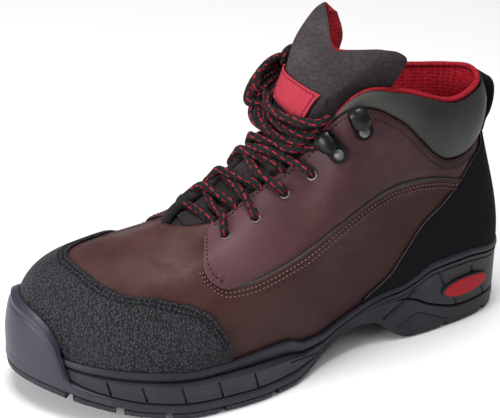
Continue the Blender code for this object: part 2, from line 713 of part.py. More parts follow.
def material(name):
    made = bpy.data.materials.new(name)
    made.use_nodes = True
    shader = made.node_tree.nodes["Principled BSDF"]
    shader.inputs["Base Color"].default_value = (*colour_of(name), 1.0)
    shader.inputs["Roughness"].default_value = 0.3 if name.startswith("hook") else 0.65
    shader.inputs["Metallic"].default_value = 1.0 if name.startswith("hook") else 0.0
    return made


def add_mesh(name, verts, faces):
    mesh = bpy.data.meshes.new(name)
    mesh.from_pydata([tuple((v - centre) * MM) for v in verts], [], faces)
    shape = bmesh.new()
    shape.from_mesh(mesh)
    bmesh.ops.recalc_face_normals(shape, faces=shape.faces)
    shape.to_mesh(mesh)
    shape.free()
    made = bpy.data.objects.new(name, mesh)
    bpy.context.scene.collection.objects.link(made)
    return made


def add_cord(name, path):
    curve = bpy.data.curves.new(name, "CURVE")
    curve.dimensions = "3D"
    curve.bevel_depth = LACE_RADIUS * MM
    curve.bevel_resolution = 2
    curve.use_fill_caps = True
    spline = curve.splines.new("POLY")
    spline.points.add(len(path) - 1)
    for point, place in zip(spline.points, path):
        point.co = (*((place - centre) * MM), 1.0)
    made = bpy.data.objects.new(name, curve)
    made.data.materials.append(material(name))
    bpy.context.scene.collection.objects.link(made)


def add_tool(owner, name, mesh, operation):
    tool = add_mesh(name, *mesh)
    tool.hide_render = True
    tool.display_type = "WIRE"
    change = owner.modifiers.new(name, "BOOLEAN")
    change.operation = operation
    change.solver = "EXACT"
    change.object = tool


for old in list(bpy.data.objects):
    bpy.data.objects.remove(old)

corners = np.concatenate([verts for verts, faces in solids.values()])
middle = (corners.min(axis=0) + corners.max(axis=0)) / 2
centre = np.array((middle[0], middle[1], 0.0))
for name, (verts, faces) in solids.items():
    made = add_mesh(name, verts, faces)
    made.data.materials.append(material(name))
    if name in cutters:
        add_tool(made, f"{name}_cuts", cutters[name], "DIFFERENCE")
    if name == "lace_crossings":
        for index, other in enumerate(strands[1:]):
            add_tool(made, f"lace_strand_{index + 2}", other, "UNION")
for index, (on_tongue, in_air) in enumerate(LACE_RUNS):
    anchors = [tongue_at(*place) for place in on_tongue] + [np.array(point, float) for point in in_air]
    add_cord(f"lace_run_{index + 1}", smooth_path(anchors, 2))
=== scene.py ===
import math
import bpy
import numpy as np
from mathutils import Matrix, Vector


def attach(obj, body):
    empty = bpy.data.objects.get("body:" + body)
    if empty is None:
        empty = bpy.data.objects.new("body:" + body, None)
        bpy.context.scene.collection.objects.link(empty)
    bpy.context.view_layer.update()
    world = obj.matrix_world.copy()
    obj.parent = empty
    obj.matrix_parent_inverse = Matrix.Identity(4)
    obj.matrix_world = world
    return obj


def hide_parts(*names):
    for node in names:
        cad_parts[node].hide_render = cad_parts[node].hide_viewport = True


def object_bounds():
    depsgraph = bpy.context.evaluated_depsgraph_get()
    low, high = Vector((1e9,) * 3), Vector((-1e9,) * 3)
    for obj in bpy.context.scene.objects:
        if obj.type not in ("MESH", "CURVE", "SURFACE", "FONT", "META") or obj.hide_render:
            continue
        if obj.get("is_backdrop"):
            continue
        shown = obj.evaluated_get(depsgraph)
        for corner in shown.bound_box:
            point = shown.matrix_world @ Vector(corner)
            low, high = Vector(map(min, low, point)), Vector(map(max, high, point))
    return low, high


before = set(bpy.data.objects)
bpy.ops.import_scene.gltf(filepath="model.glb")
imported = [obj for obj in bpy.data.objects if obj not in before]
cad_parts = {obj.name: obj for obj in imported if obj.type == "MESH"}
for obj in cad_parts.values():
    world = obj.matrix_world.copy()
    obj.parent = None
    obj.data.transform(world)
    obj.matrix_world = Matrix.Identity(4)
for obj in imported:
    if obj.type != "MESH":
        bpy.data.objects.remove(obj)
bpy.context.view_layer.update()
print("frame loaded:", len(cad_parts), "solids")

# the boot's own sizes are in millimetres: x from heel to toe, y to the lateral side, z up
mm = 0.001
bootCentre = np.array((145.4495, 1.4607, 0.0))

# around the last from the heel back along the lateral side:
# foot x y, bulge out and z, shoulder out and dz, top x y z
lastRows = np.array((
    (-5, 0, 2, 75, -5, -35, 12.5, 0, 148),
    (8.6, 27, 5, 75, -3, -35, 20, 16, 145),
    (56, 36, 5, 75, -2, -38, 48, 30, 145),
    (105, 35, 5, 70, 5, -45, 84, 33, 158),
    (145, 43, 5, 68, 11, -48, 111, 30, 159),
    (190, 50, 6, 57, 22, -36, 135, 18, 125),
    (233, 48, 6, 54, 28, -16, 162, 14, 106),
    (269, 30, 4, 88, 33, -21, 187, 13, 92),
    (292, -7, 2, 89, 46.5, -12, 209, 0, 90),
    (279, -36, 2, 92, 31.5, -36.5, 187, -14, 92),
    (243, -47, 5, 58, 24, -31, 162, -15, 106),
    (208, -48, 6, 57, 22, -36, 135, -18, 125),
    (160, -38, 5, 68, 11, -48, 111, -30, 159),
    (110, -30, 5, 70, 5, -45, 84, -33, 158),
    (58, -33, 5, 75, -2, -38, 48, -30, 146),
    (8.6, -26, 5, 75, -3, -35, 20, -16, 146),
), float)

# along the sole from the heel: heights of its levels and how far each stands out
soleColumns = ("x", "ground", "part", "floor", "groove", "rand", "randOut", "bandOut", "treadOut", "treadIn")
soleRows = np.array((
    (-6, 1.5, 13, 33, 37, 43, 2.6, 2.8, 3.2, 3.5),
    (8, 0, 12, 33, 40, 45, 2.6, 2.8, 3.4, 3),
    (32, 0, 12, 33, 44, 49, 2.6, 2.8, 3.6, 2),
    (56, 0, 19, 33, 43, 48, 2.6, 2.8, 3.6, 2),
    (69, 0, 26, 32, 36.5, 41, 2.6, 2.8, 3.4, 2),
    (77, 3, 27.5, 31, 33, 37, 2.6, 2.8, 3.2, 2),
    (85, 8.5, 27, 30, 31.5, 35.5, 2.6, 2.6, 2.8, 2),
    (93, 14.5, 25.5, 28.5, 29.5, 33.5, 2.6, 2.4, 2.4, 1.5),
    (108, 15.5, 20.5, 24, 24, 28.5, 2.6, 2.4, 2.2, 1.5),
    (121, 12, 15.5, 20.5, 20, 24.5, 2.6, 2.6, 2.6, 1.5),
    (134, 6.5, 11, 17, 16, 21.5, 2.6, 3.4, 3.6, 1.5),
    (146, 2, 9, 14.5, 15.5, 22, 2.8, 5.4, 6.6, 2),
    (158, 0, 8.4, 13.2, 18.5, 27, 3.0, 7.6, 9.2, 2),
    (177, 0, 8.4, 13, 20.5, 28, 3.0, 8.6, 10, 2),
    (195, 0, 8.8, 13, 21.5, 27.5, 3.0, 8.0, 9.2, 2),
    (214, 0, 9.6, 13.4, 22, 27.5, 3.0, 7.2, 8.0, 2),
    (240, 3.6, 13.2, 17, 25, 30.5, 3.0, 6.2, 6.8, 2.5),
    (263, 9.2, 19, 22.5, 28.5, 33.5, 3.0, 5.0, 6.6, 3),
    (279, 13, 24, 27, 30.5, 35, 3.0, 3.2, 7.0, 3.5),
    (292, 15.4, 27, 30, 33, 38, 2.6, 2.6, 7.2, 3.5),
), float)

# panel edges on the last: station u, height v
toeCapEdge = (
    (5.14, 0.15), (5.25, 0.20), (5.55, 0.31), (5.93, 0.40), (6.33, 0.435), (6.65, 0.44), (7.05, 0.42),
    (7.38, 0.455), (7.75, 0.525), (8.0, 0.545), (8.47, 0.545), (8.8, 0.55), (9.1, 0.545), (9.5, 0.505),
    (10.0, 0.46), (10.5, 0.42), (10.75, 0.31), (10.95, 0.20), (11.05, 0.15),
)
counterEdge = (
    (0.0, 0.985), (0.3, 0.985), (0.4, 0.92), (0.5, 0.85), (0.7, 0.80), (0.9, 0.74), (0.98, 0.67),
    (1.43, 0.60), (1.68, 0.525), (1.95, 0.445), (2.25, 0.365), (2.45, 0.235), (2.6, 0.13), (2.76, 0.085),
    (2.95, 0.052),
)
padLowEdge = (
    (0.32, 0.98), (0.4, 0.94), (0.5, 0.87), (0.7, 0.82), (0.9, 0.76), (1.25, 0.70), (1.62, 0.675),
    (1.95, 0.685), (2.25, 0.73), (2.55, 0.80), (2.93, 0.875), (3.38, 0.918), (4.03, 0.960), (4.23, 0.979),
    (4.44, 0.9955),
)
quarterTopEdge = (
    (1.15, 0.703), (1.43, 0.683), (1.7, 0.670), (1.95, 0.680), (2.25, 0.725), (2.55, 0.795), (2.93, 0.870),
    (3.38, 0.913), (4.03, 0.954), (4.3, 0.98), (4.6, 0.995), (7.03, 0.995),
)
quarterLowEdge = (
    (1.15, 0.66), (1.43, 0.602), (1.68, 0.533), (1.95, 0.567), (2.2, 0.586), (2.42, 0.592), (2.65, 0.586),
    (2.9, 0.576), (3.1, 0.563), (3.36, 0.542), (3.63, 0.518), (3.9, 0.499), (4.28, 0.488), (4.98, 0.502),
    (5.5, 0.49), (5.78, 0.49), (6.1, 0.53), (6.38, 0.60), (6.7, 0.735), (7.03, 0.905),
)
bumperTop = (
    (7.15, 28), (7.27, 35), (7.38, 45), (7.52, 52), (7.75, 57), (8.0, 59), (8.3, 59.5), (8.55, 57),
    (8.72, 52), (8.85, 45), (8.96, 36), (9.05, 29),
)
eyeletPlaces = ((6.48, 0.82), (5.95, 0.825), (5.45, 0.885), (4.88, 0.88))
hookPlaces = ((4.45, 0.895), (3.95, 0.90))
bootSides = (("lateral", 1), ("medial", -1))
footLift = 0.35  # the upper starts this far over the floor of the sole
quarterOut = 1.85  # outer face of the quarters, from the last
stationLength = 34.0  # one station along the boot, roughly
probe = 0.004  # step for slopes on the last


def catmull(rows, u):
    u = np.asarray(u, float)
    count = len(rows)
    i = np.floor(u).astype(int)
    t = (u - i)[..., None]
    a, b, c, d = (rows[(i + k) % count] for k in (-1, 0, 1, 2))
    square = 2 * a - 5 * b + 4 * c - d
    cube = 3 * b - a - 3 * c + d
    return 0.5 * (2 * b + (c - a) * t + square * t ** 2 + cube * t ** 3)


def easeThrough(xs, ys, x):  # keeps to the table with no overshoot
    xs = np.asarray(xs, float)
    ys = np.asarray(ys, float)
    gaps = np.diff(xs)
    slopes = np.diff(ys) / gaps
    tangents = np.zeros(len(xs))
    turn = slopes[:-1] * slopes[1:]
    total = np.where(turn > 0, slopes[:-1] + slopes[1:], 1.0)
    tangents[1:-1] = np.where(turn > 0, 2 * turn / total, 0.0)
    tangents[0] = slopes[0]
    tangents[-1] = slopes[-1]
    x = np.clip(x, xs[0], xs[-1])
    i = np.clip(np.searchsorted(xs, x, side="right") - 1, 0, len(xs) - 2)
    t = (x - xs[i]) / gaps[i]
    low = (1 + 2 * t) * (1 - t) ** 2 * ys[i] + t * (1 - t) ** 2 * gaps[i] * tangents[i]
    high = t * t * (3 - 2 * t) * ys[i + 1] + t * t * (t - 1) * gaps[i] * tangents[i + 1]
    return low + high


def level(name, x):
    return easeThrough(soleRows[:, 0], soleRows[:, soleColumns.index(name)], x)


def edgeAt(table, u):
    pairs = np.array(table)
    return easeThrough(pairs[:, 0], pairs[:, 1], u)


def unit(vectors):
    return vectors / np.linalg.norm(vectors, axis=-1, keepdims=True)


def outline(u):
    step = 0.02
    row = catmull(lastRows, u)
    run = catmull(lastRows, np.asarray(u) + step) - catmull(lastRows, np.asarray(u) - step)
    return row, unit(np.stack((-run[..., 1], run[..., 0], np.zeros(run.shape[:-1])), -1))


def lastAt(u, v):
    u, v = np.broadcast_arrays(np.asarray(u, float), np.asarray(v, float))
    row, out = outline(u)
    foot = np.stack((row[..., 0], row[..., 1], level("floor", row[..., 0]) + footLift), -1)
    low = foot + out * row[..., 2:3]
    low[..., 2] = row[..., 3]
    top = row[..., 6:9]
    high = top + out * row[..., 4:5]
    high[..., 2] += row[..., 5]
    t = v[..., None]
    s = 1 - t
    return s ** 3 * foot + 3 * s * s * t * low + 3 * s * t * t * high + t ** 3 * top


def slopesAt(u, v):
    along = lastAt(u + probe, v) - lastAt(u - probe, v)
    rise = lastAt(u, v + probe) - lastAt(u, v - probe)
    return along, rise


def lastNormal(u, v):
    u, v = np.broadcast_arrays(np.asarray(u, float), np.clip(v, probe, 1 - probe))
    along, rise = slopesAt(u, v)
    return unit(np.cross(rise, along))


def skin(u, v, offset):
    u, v = np.broadcast_arrays(np.asarray(u, float), np.asarray(v, float))
    return lastAt(u, v) + lastNormal(u, v) * np.broadcast_to(offset, u.shape)[..., None]


def heightAt(u, z):
    u, z = np.broadcast_arrays(np.asarray(u, float), np.asarray(z, float))
    low = np.zeros(u.shape)
    high = np.ones(u.shape)
    for _ in range(26):
        middle = (low + high) / 2
        under = lastAt(u, middle)[..., 2] < z
        low = np.where(under, middle, low)
        high = np.where(under, high, middle)
    return (low + high) / 2


def sideAt(u, z, offset):
    u, z = np.broadcast_arrays(np.asarray(u, float), np.asarray(z, float))
    points = lastAt(u, heightAt(u, z)) + outline(u)[1] * np.broadcast_to(offset, u.shape)[..., None]
    points[..., 2] = z
    return points


def stationAt(x, start, stop):
    u = np.linspace(start, stop, 400)
    xs = catmull(lastRows, u)[:, 0]
    order = np.argsort(xs)
    return float(np.interp(x, xs[order], u[order]))


def smooth(x):
    x = np.clip(x, 0, 1)
    return x * x * (3 - 2 * x)


def roundEdge(distance, width):
    x = np.clip(distance / width, 0, 1)
    return np.sqrt(np.clip(1 - (1 - x) ** 2, 0, 1))


def trough(x, width):
    return np.exp(-(x / width) ** 2)


def extended(rows):  # one more row at each end, straight on
    return np.concatenate((2 * rows[:1] - rows[1:2], rows, 2 * rows[-1:] - rows[-2:-1]))


def alongPath(points, shares):
    points = np.asarray(points, float)
    return catmull(extended(points), 1 + np.minimum(shares, len(points) - 1 - 1e-9))


def walkAlong(points):  # length of the line up to each of its points
    return np.concatenate(((0,), np.cumsum(np.linalg.norm(np.diff(points, axis=0), axis=1))))


def pickAlong(at, walk, values):
    return np.stack([np.interp(at, walk, values[:, k]) for k in range(3)], -1)


def evenPath(points, spacing):  # smooth line through the points, with steps of equal length
    dense = alongPath(points, np.linspace(0, len(points) - 1, 60 * len(points)))
    walk = walkAlong(dense)
    steps = np.linspace(0, walk[-1], max(4, int(round(walk[-1] / spacing))) + 1)
    return pickAlong(steps, walk, dense)


def deselect():
    if bpy.context.object is not None and bpy.context.object.mode != "OBJECT":
        bpy.ops.object.mode_set(mode="OBJECT")
    bpy.ops.object.select_all(action="DESELECT")


def pick(piece):
    deselect()
    piece.select_set(True)
    bpy.context.view_layer.objects.active = piece


def pointsOf(piece):
    flat = np.empty(len(piece.data.vertices) * 3)
    piece.data.vertices.foreach_get("co", flat)
    return flat.reshape(-1, 3)


def setPoints(piece, points):  # from the boot's millimetres to the frame's metres
    piece.data.vertices.foreach_set("co", ((points - bootCentre) * mm).ravel())


def wrapGrid(name, columns, rows, place, closed=False, flip=False):  # a grid laid onto the boot
    deselect()
    bpy.ops.mesh.primitive_grid_add(x_subdivisions=columns, y_subdivisions=rows, size=2)
    piece = bpy.context.object
    piece.name = name
    piece.data.name = name
    shares = (pointsOf(piece) + 1) / 2
    setPoints(piece, place(shares[:, 0], shares[:, 1]))
    bpy.ops.object.mode_set(mode="EDIT")
    bpy.ops.mesh.select_all(action="SELECT")
    if closed:
        bpy.ops.mesh.remove_doubles(threshold=0.004 * mm)
    if flip:
        bpy.ops.mesh.flip_normals()
    bpy.ops.object.mode_set(mode="OBJECT")
    bpy.ops.object.shade_smooth()
    return piece


def applied(piece, kind, **settings):
    pick(piece)
    change = piece.modifiers.new(kind.title(), kind)
    for key, value in settings.items():
        setattr(change, key, value)
    bpy.ops.object.modifier_apply(modifier=change.name)
    return piece


def outwards(piece):
    pick(piece)
    bpy.ops.object.mode_set(mode="EDIT")
    bpy.ops.mesh.select_all(action="SELECT")
    bpy.ops.mesh.normals_make_consistent(inside=False)
    bpy.ops.object.mode_set(mode="OBJECT")
    return piece


def capHoles(piece):  # closes the open ends
    pick(piece)
    bpy.ops.object.mode_set(mode="EDIT")
    bpy.ops.mesh.select_all(action="DESELECT")
    bpy.ops.mesh.select_non_manifold()
    bpy.ops.mesh.edge_face_add()
    bpy.ops.object.mode_set(mode="OBJECT")
    return outwards(piece)


def tube(name, path, across, lift, width, sides):  # round tube along a line
    count = len(path) - 1

    def place(s, t):
        k = np.rint(s * count).astype(int)
        angle = 2 * math.pi * t[:, None]
        ring = np.cos(angle) * across[k] + np.sin(angle) * lift[k]
        return path[k] + width[k][:, None] * ring

    return wrapGrid(name, count, sides, place, closed=True)


def joined(name, pieces):
    pick(pieces[0])
    for piece in pieces:
        piece.select_set(True)
    bpy.ops.object.join()
    pieces[0].name = name
    pieces[0].data.name = name
    return pieces[0]


def fitted(piece, materials, slotName, *nodes):
    for finish in materials if isinstance(materials, (list, tuple)) else [materials]:
        if finish is not None:
            piece.data.materials.append(finish)
    if nodes:
        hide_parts(*nodes)
    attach(piece, "root")
    return piece


# materials: each is a small node tree on Object coordinates or on the piece's own UV map
class Finish:
    def __init__(self, name, rough, **sockets):
        self.made = bpy.data.materials.new(name)
        self.made.use_nodes = True
        self.tree = self.made.node_tree
        self.shader = self.tree.nodes["Principled BSDF"]
        self.shader.inputs["Roughness"].default_value = rough
        for key, value in sockets.items():
            self.shader.inputs[key.replace("_", " ")].default_value = value
        self.coords = self.tree.nodes.new("ShaderNodeTexCoord")
        self.bumped = None

    def node(self, kind, inputs=None, **settings):
        made = self.tree.nodes.new("ShaderNode" + kind)
        for key, value in settings.items():
            setattr(made, key, value)
        for key, value in (inputs or {}).items():
            if isinstance(value, bpy.types.NodeSocket):
                self.tree.links.new(value, made.inputs[key])
            else:
                made.inputs[key].default_value = value
        return made

    def place(self, scale=(1, 1, 1), turn=(0, 0, 0)):
        source = self.coords.outputs["Object"]
        mapping = self.node("Mapping", {"Vector": source, "Scale": scale, "Rotation": turn})
        return mapping.outputs["Vector"]

    def axes(self, source="Object"):
        made = self.node("SeparateXYZ", {"Vector": self.coords.outputs[source]})
        return [made.outputs[axis] for axis in "XYZ"]

    def noise(self, scale, detail=4, rough=0.55, vector=None):
        where = self.place() if vector is None else vector
        made = self.node("TexNoise", {"Vector": where, "Scale": scale, "Detail": detail, "Roughness": rough})
        return made.outputs["Fac"]

    def cells(self, scale, feature="F1", vector=None, random=1.0):
        where = self.place() if vector is None else vector
        inputs = {"Vector": where, "Scale": scale, "Randomness": random}
        return self.node("TexVoronoi", inputs, feature=feature).outputs["Distance"]

    def math(self, operation, first, second=0.0, third=0.0):
        made = self.node("Math", {0: first, 1: second, 2: third}, operation=operation)
        return made.outputs[0]

    def times(self, first, second):
        return self.math("MULTIPLY", first, second)

    def plus(self, first, second):
        return self.math("ADD", first, second)

    def ramp(self, value, stops):
        made = self.node("ValToRGB", {"Fac": value})
        bar = made.color_ramp.elements
        while len(bar) < len(stops):
            bar.new(0.5)
        for spot, (at, colour) in zip(bar, stops):
            spot.position = at
            spot.color = (*colour, 1.0)
        return made.outputs["Color"]

    def range(self, value, low, high, toLow, toHigh):
        limits = {"From Min": low, "From Max": high, "To Min": toLow, "To Max": toHigh}
        return self.node("MapRange", {"Value": value, **limits}).outputs["Result"]

    def mix(self, share, first, second):
        made = self.node("Mix", data_type="RGBA", blend_type="MIX")
        for key, value in ((0, share), (6, first), (7, second)):
            if isinstance(value, bpy.types.NodeSocket):
                self.tree.links.new(value, made.inputs[key])
            else:
                made.inputs[key].default_value = value if key == 0 else (*value, 1.0)
        return made.outputs[2]

    def colour(self, socket):
        self.tree.links.new(socket, self.shader.inputs["Base Color"])

    def rough(self, socket):
        self.tree.links.new(socket, self.shader.inputs["Roughness"])

    def bump(self, height, strength, distance):
        inputs = {"Height": height, "Strength": strength, "Distance": distance}
        if self.bumped is not None:
            inputs["Normal"] = self.bumped
        made = self.node("Bump", inputs)
        self.bumped = made.outputs["Normal"]
        self.tree.links.new(self.bumped, self.shader.inputs["Normal"])


def oiledLeather(name, dark, mid, pale, rough, gloss, worn=None):
    f = Finish(name, rough, Specular_IOR_Level=gloss, Coat_Weight=0.04, Coat_Roughness=0.35)
    clouds = f.noise(26, 5, 0.6)
    streaks = f.noise(9, 3, 0.5, f.place(scale=(1, 1.6, 0.7)))
    flecks = f.noise(210, 4, 0.65)
    tone = f.ramp(clouds, ((0.3, dark), (0.52, mid), (0.75, pale)))
    tone = f.mix(f.range(streaks, 0.35, 0.7, 0.0, 0.55), tone, mid)
    tone = f.mix(f.range(flecks, 0.45, 0.75, 0.0, 0.5), tone, dark)
    x, _, z = f.axes()
    low = f.math("MULTIPLY_ADD", x, 0.6, z)  # painted shade, darker low down and towards the heel
    tone = f.mix(f.range(low, 0.012, 0.118, 0.85, 0.0), tone, dark)
    if worn:  # paler where the panel is pulled over its round front: part pull-up wear, part painted highlight
        away = f.node("VectorMath", {0: f.coords.outputs["Object"], 1: worn}, operation="DISTANCE")
        rubbedSheen = f.range(away.outputs["Value"], 0.006, 0.042, 0.75, 0.0)
        tone = f.mix(rubbedSheen, tone, [1.25 * c for c in pale])
    f.colour(tone)
    f.rough(f.range(clouds, 0.3, 0.7, rough + 0.08, rough - 0.08))
    f.bump(f.cells(1000), 0.3, 0.0003)
    f.bump(f.noise(380, 5, 0.65), 0.3, 0.0005)
    f.bump(f.noise(90, 4, 0.55), 0.12, 0.0015)
    return f.made


def coarseGrain(name):
    f = Finish(name, 0.55, Specular_IOR_Level=0.3)
    cells = f.cells(820, vector=f.place(scale=(1.0, 1.0, 0.8)))
    speck = f.noise(1000, 3, 0.7)
    tones = ((0.3, (0.052, 0.051, 0.066)), (0.55, (0.019, 0.0185, 0.025)), (0.85, (0.003, 0.003, 0.004)))
    f.colour(f.ramp(f.plus(cells, f.times(speck, 0.3)), tones))
    f.rough(f.range(speck, 0.35, 0.7, 0.7, 0.42))
    f.bump(f.times(cells, -1.0), 0.9, 0.0012)
    f.bump(speck, 0.3, 0.0006)
    return f.made


def plainNap(name, dark, pale, rough, scale=700, strength=0.2, gloss=0.2, paintedShadeAndLight=False):
    f = Finish(name, rough, Specular_IOR_Level=gloss)
    nap = f.noise(scale, 5, 0.7)
    clouds = f.noise(30, 4, 0.55)
    tone = f.mix(f.range(clouds, 0.3, 0.7, 0.0, 0.5), f.ramp(nap, ((0.3, dark), (0.7, pale))), pale)
    if paintedShadeAndLight:  # painted shade under the rim towards the heel, and a painted highlight paler to the front
        x, _, z = f.axes()
        heel = f.range(x, -0.085, -0.055, 0.6, 0.0)
        rim = f.range(z, 0.112, 0.138, 0.35, 1.0)
        tone = f.mix(f.times(heel, rim), tone, [0.4 * c for c in dark])
        tone = f.mix(f.range(x, -0.075, -0.04, 0.0, 0.6), tone, [2 * c for c in pale])
    f.colour(tone)
    f.bump(nap, strength, 0.0004)
    f.bump(clouds, 0.08, 0.0015)
    return f.made


def wovenCloth(name, dark, mid, pale, scale=900, strength=0.4, paintedShade=False):
    f = Finish(name, 0.85, Specular_IOR_Level=0.12)
    warp = f.noise(scale, 2, 0.5, f.place(scale=(1.0, 1.0, 0.35)))
    weft = f.noise(scale, 2, 0.5, f.place(scale=(0.4, 0.4, 1.6)))
    cloth = f.math("MULTIPLY_ADD", warp, 0.5, f.times(weft, 0.5))
    clouds = f.noise(34, 4, 0.6)
    shade = f.math("MULTIPLY_ADD", cloth, 0.6, f.times(clouds, 0.4))
    tone = f.ramp(shade, ((0.34, dark), (0.5, mid), (0.66, pale)))
    if paintedShade:  # painted shade, darker where it goes in under the collar and low down by the laces
        _, y, z = f.axes()
        low = f.math("MULTIPLY_ADD", y, -0.9, z)
        side = f.times(f.range(y, 0.010, 0.022, 0.0, 0.85), f.range(low, 0.128, 0.172, 1.0, 0.0))
        foot = f.range(z, 0.094, 0.114, 0.35, 0.0)
        tone = f.mix(f.math("MAXIMUM", side, foot), tone, [0.3 * c for c in dark])
    f.colour(tone)
    f.bump(cloth, strength, 0.0006)
    f.bump(clouds, 0.12, 0.0015)
    return f.made


def knitMesh(name, dark, mid, pale):
    f = Finish(name, 0.8, Specular_IOR_Level=0.15)
    holes = f.cells(430, random=0.35)
    clouds = f.noise(40, 4, 0.6)
    knit = f.ramp(holes, ((0.15, dark), (0.4, mid), (0.7, pale)))
    f.colour(f.mix(f.range(clouds, 0.3, 0.7, 0.0, 0.45), knit, mid))
    f.bump(holes, 0.5, 0.0008)
    return f.made


def mouldedRubber(name, dark, mid, pale, rough, pebble=0.0, fade=0.0, gloss=0.32):
    f = Finish(name, rough, Specular_IOR_Level=gloss)
    clouds = f.noise(34, 4, 0.55)
    fine = f.noise(1100, 4, 0.65)
    shade = f.plus(f.times(clouds, 0.75), f.times(fine, 0.25))
    tone = f.ramp(shade, ((0.3, dark), (0.5, mid), (0.72, pale)))
    if fade:  # painted shade, darker towards the heel
        tone = f.mix(f.range(f.axes()[0], -0.13, 0.03, fade, 0.0), tone, [0.4 * c for c in dark])
    f.colour(tone)
    f.rough(f.range(fine, 0.35, 0.65, rough + 0.08, rough - 0.08))
    f.bump(fine, 0.14, 0.0003)
    if pebble:
        f.bump(f.times(f.cells(620, "SMOOTH_F1"), -1.0), pebble, 0.0012)
    return f.made


def braidedLace(name):
    braid = {"strands": 12.0, "pitch": 2.9, "dashRows": 4.0, "dashPitch": 5.2, "dash": 0.62}
    f = Finish(name, 0.7, Specular_IOR_Level=0.2)
    along, around, _ = f.axes("UV")
    turns = f.times(around, braid["strands"])
    climb = f.math("DIVIDE", along, braid["pitch"])
    right = f.plus(turns, climb)
    left = f.math("SUBTRACT", turns, climb)
    about = f.plus(f.math("FLOOR", right), f.math("FLOOR", left))
    over = f.math("LESS_THAN", f.math("FLOORED_MODULO", about, 2.0), 0.5)
    row = f.math("MULTIPLY_ADD", along, 0.05, f.times(around, braid["dashRows"]))
    middle = f.math("ABSOLUTE", f.math("SUBTRACT", f.math("FRACT", row), 0.5))
    beat = f.math("DIVIDE", along, braid["dashPitch"])
    step = f.math("FRACT", f.math("MULTIPLY_ADD", f.math("FLOOR", row), 0.5, beat))
    # tracer dashes along the black braid
    red = f.times(f.math("LESS_THAN", middle, 0.125), f.math("LESS_THAN", step, braid["dash"]))
    worn = f.noise(500, 3, 0.6)
    black = f.ramp(worn, ((0.3, (0.004, 0.004, 0.005)), (0.7, (0.018, 0.020, 0.021))))
    tracer = f.ramp(worn, ((0.3, (0.26, 0.007, 0.016)), (0.7, (0.54, 0.018, 0.040))))
    f.colour(f.mix(red, black, tracer))
    waves = [f.math("ABSOLUTE", f.math("SINE", f.times(way, math.pi))) for way in (right, left)]
    humpRight, humpLeft = (f.math("POWER", wave, 0.6) for wave in waves)
    hump = f.plus(f.times(humpRight, over), f.times(humpLeft, f.math("SUBTRACT", 1.0, over)))
    f.bump(hump, 0.8, 0.0009)
    f.bump(f.noise(1500, 3, 0.7), 0.25, 0.0003)
    return f.made


def blackedMetal(name):
    f = Finish(name, 0.28, Specular_IOR_Level=0.22, Coat_Weight=0.06, Coat_Roughness=0.1)
    worn = f.noise(160, 5, 0.65)
    tones = ((0.35, (0.004, 0.004, 0.005)), (0.6, (0.008, 0.008, 0.010)), (0.8, (0.03, 0.03, 0.034)))
    f.colour(f.ramp(worn, tones))
    f.rough(f.range(worn, 0.3, 0.7, 0.2, 0.38))
    f.bump(f.noise(600, 3, 0.5), 0.05, 0.0003)
    return f.made


def threadFinish(name, dark, pale):
    f = Finish(name, 0.75, Specular_IOR_Level=0.15)
    wave = {"Vector": f.place(turn=(0.4, 0.3, 0.7)), "Scale": 900.0, "Distortion": 1.0}
    twist = f.node("TexWave", wave).outputs["Fac"]
    shade = f.plus(f.times(twist, 0.5), f.times(f.noise(240), 0.5))
    f.colour(f.ramp(shade, ((0.25, dark), (0.75, pale))))
    f.bump(twist, 0.4, 0.0003)
    return f.made


def cloudedFinish(name, dark, pale, rough, scale, **sockets):
    f = Finish(name, rough, **sockets)
    f.colour(f.ramp(f.noise(scale), ((0.3, dark), (0.7, pale))))
    return f.made


vampLeather = oiledLeather(
    "vampLeather", (0.032, 0.012, 0.012), (0.070, 0.030, 0.028), (0.100, 0.051, 0.049), 0.6, 0.13,
)
# the quarter's paler patch round worn is part pull-up wear and part painted highlight
quarterLeather = oiledLeather(
    "quarterLeather", (0.034, 0.011, 0.012), (0.066, 0.025, 0.028), (0.098, 0.043, 0.050), 0.56, 0.2,
    worn=(0.040, 0.035, 0.084),
)
capGrain = coarseGrain("capGrain")
counterNap = plainNap("counterNap", (0.0022, 0.0022, 0.0030), (0.0068, 0.0068, 0.0090), 0.85, 700, 0.6, 0.1)
# the collar pad carries painted shade at the heel and a painted highlight at the front
collarSoft = plainNap(
    "collarSoft", (0.026, 0.027, 0.024), (0.040, 0.041, 0.037), 0.42, 320, 0.08, paintedShadeAndLight=True,
)
# the tongue cloth carries painted shade under the collar and low down by the laces
tongueCloth = wovenCloth(
    "tongueCloth", (0.020, 0.016, 0.017), (0.042, 0.034, 0.037), (0.072, 0.060, 0.064), paintedShade=True,
)
# collar lining: the red mesh made brighter than the tongue lining, painted light inside the shaded collar
liningMeshLit = knitMesh("liningMeshLit", (0.34, 0.010, 0.020), (0.66, 0.024, 0.044), (0.78, 0.038, 0.062))
tongueLining = knitMesh("tongueLining", (0.15, 0.005, 0.010), (0.30, 0.012, 0.022), (0.37, 0.018, 0.030))
bindingCloth = knitMesh("bindingCloth", (0.14, 0.004, 0.008), (0.32, 0.010, 0.020), (0.40, 0.018, 0.030))
labelCloth = wovenCloth(
    "labelCloth", (0.28, 0.020, 0.036), (0.36, 0.032, 0.052), (0.43, 0.046, 0.070), 1300, 0.15,
)
loopWebbing = wovenCloth(
    "loopWebbing", (0.004, 0.004, 0.004), (0.009, 0.009, 0.009), (0.016, 0.016, 0.016), 700, 0.4,
)
facingCloth = wovenCloth(
    "facingCloth", (0.010, 0.009, 0.009), (0.023, 0.020, 0.021), (0.046, 0.040, 0.042), 800, 0.6,
)
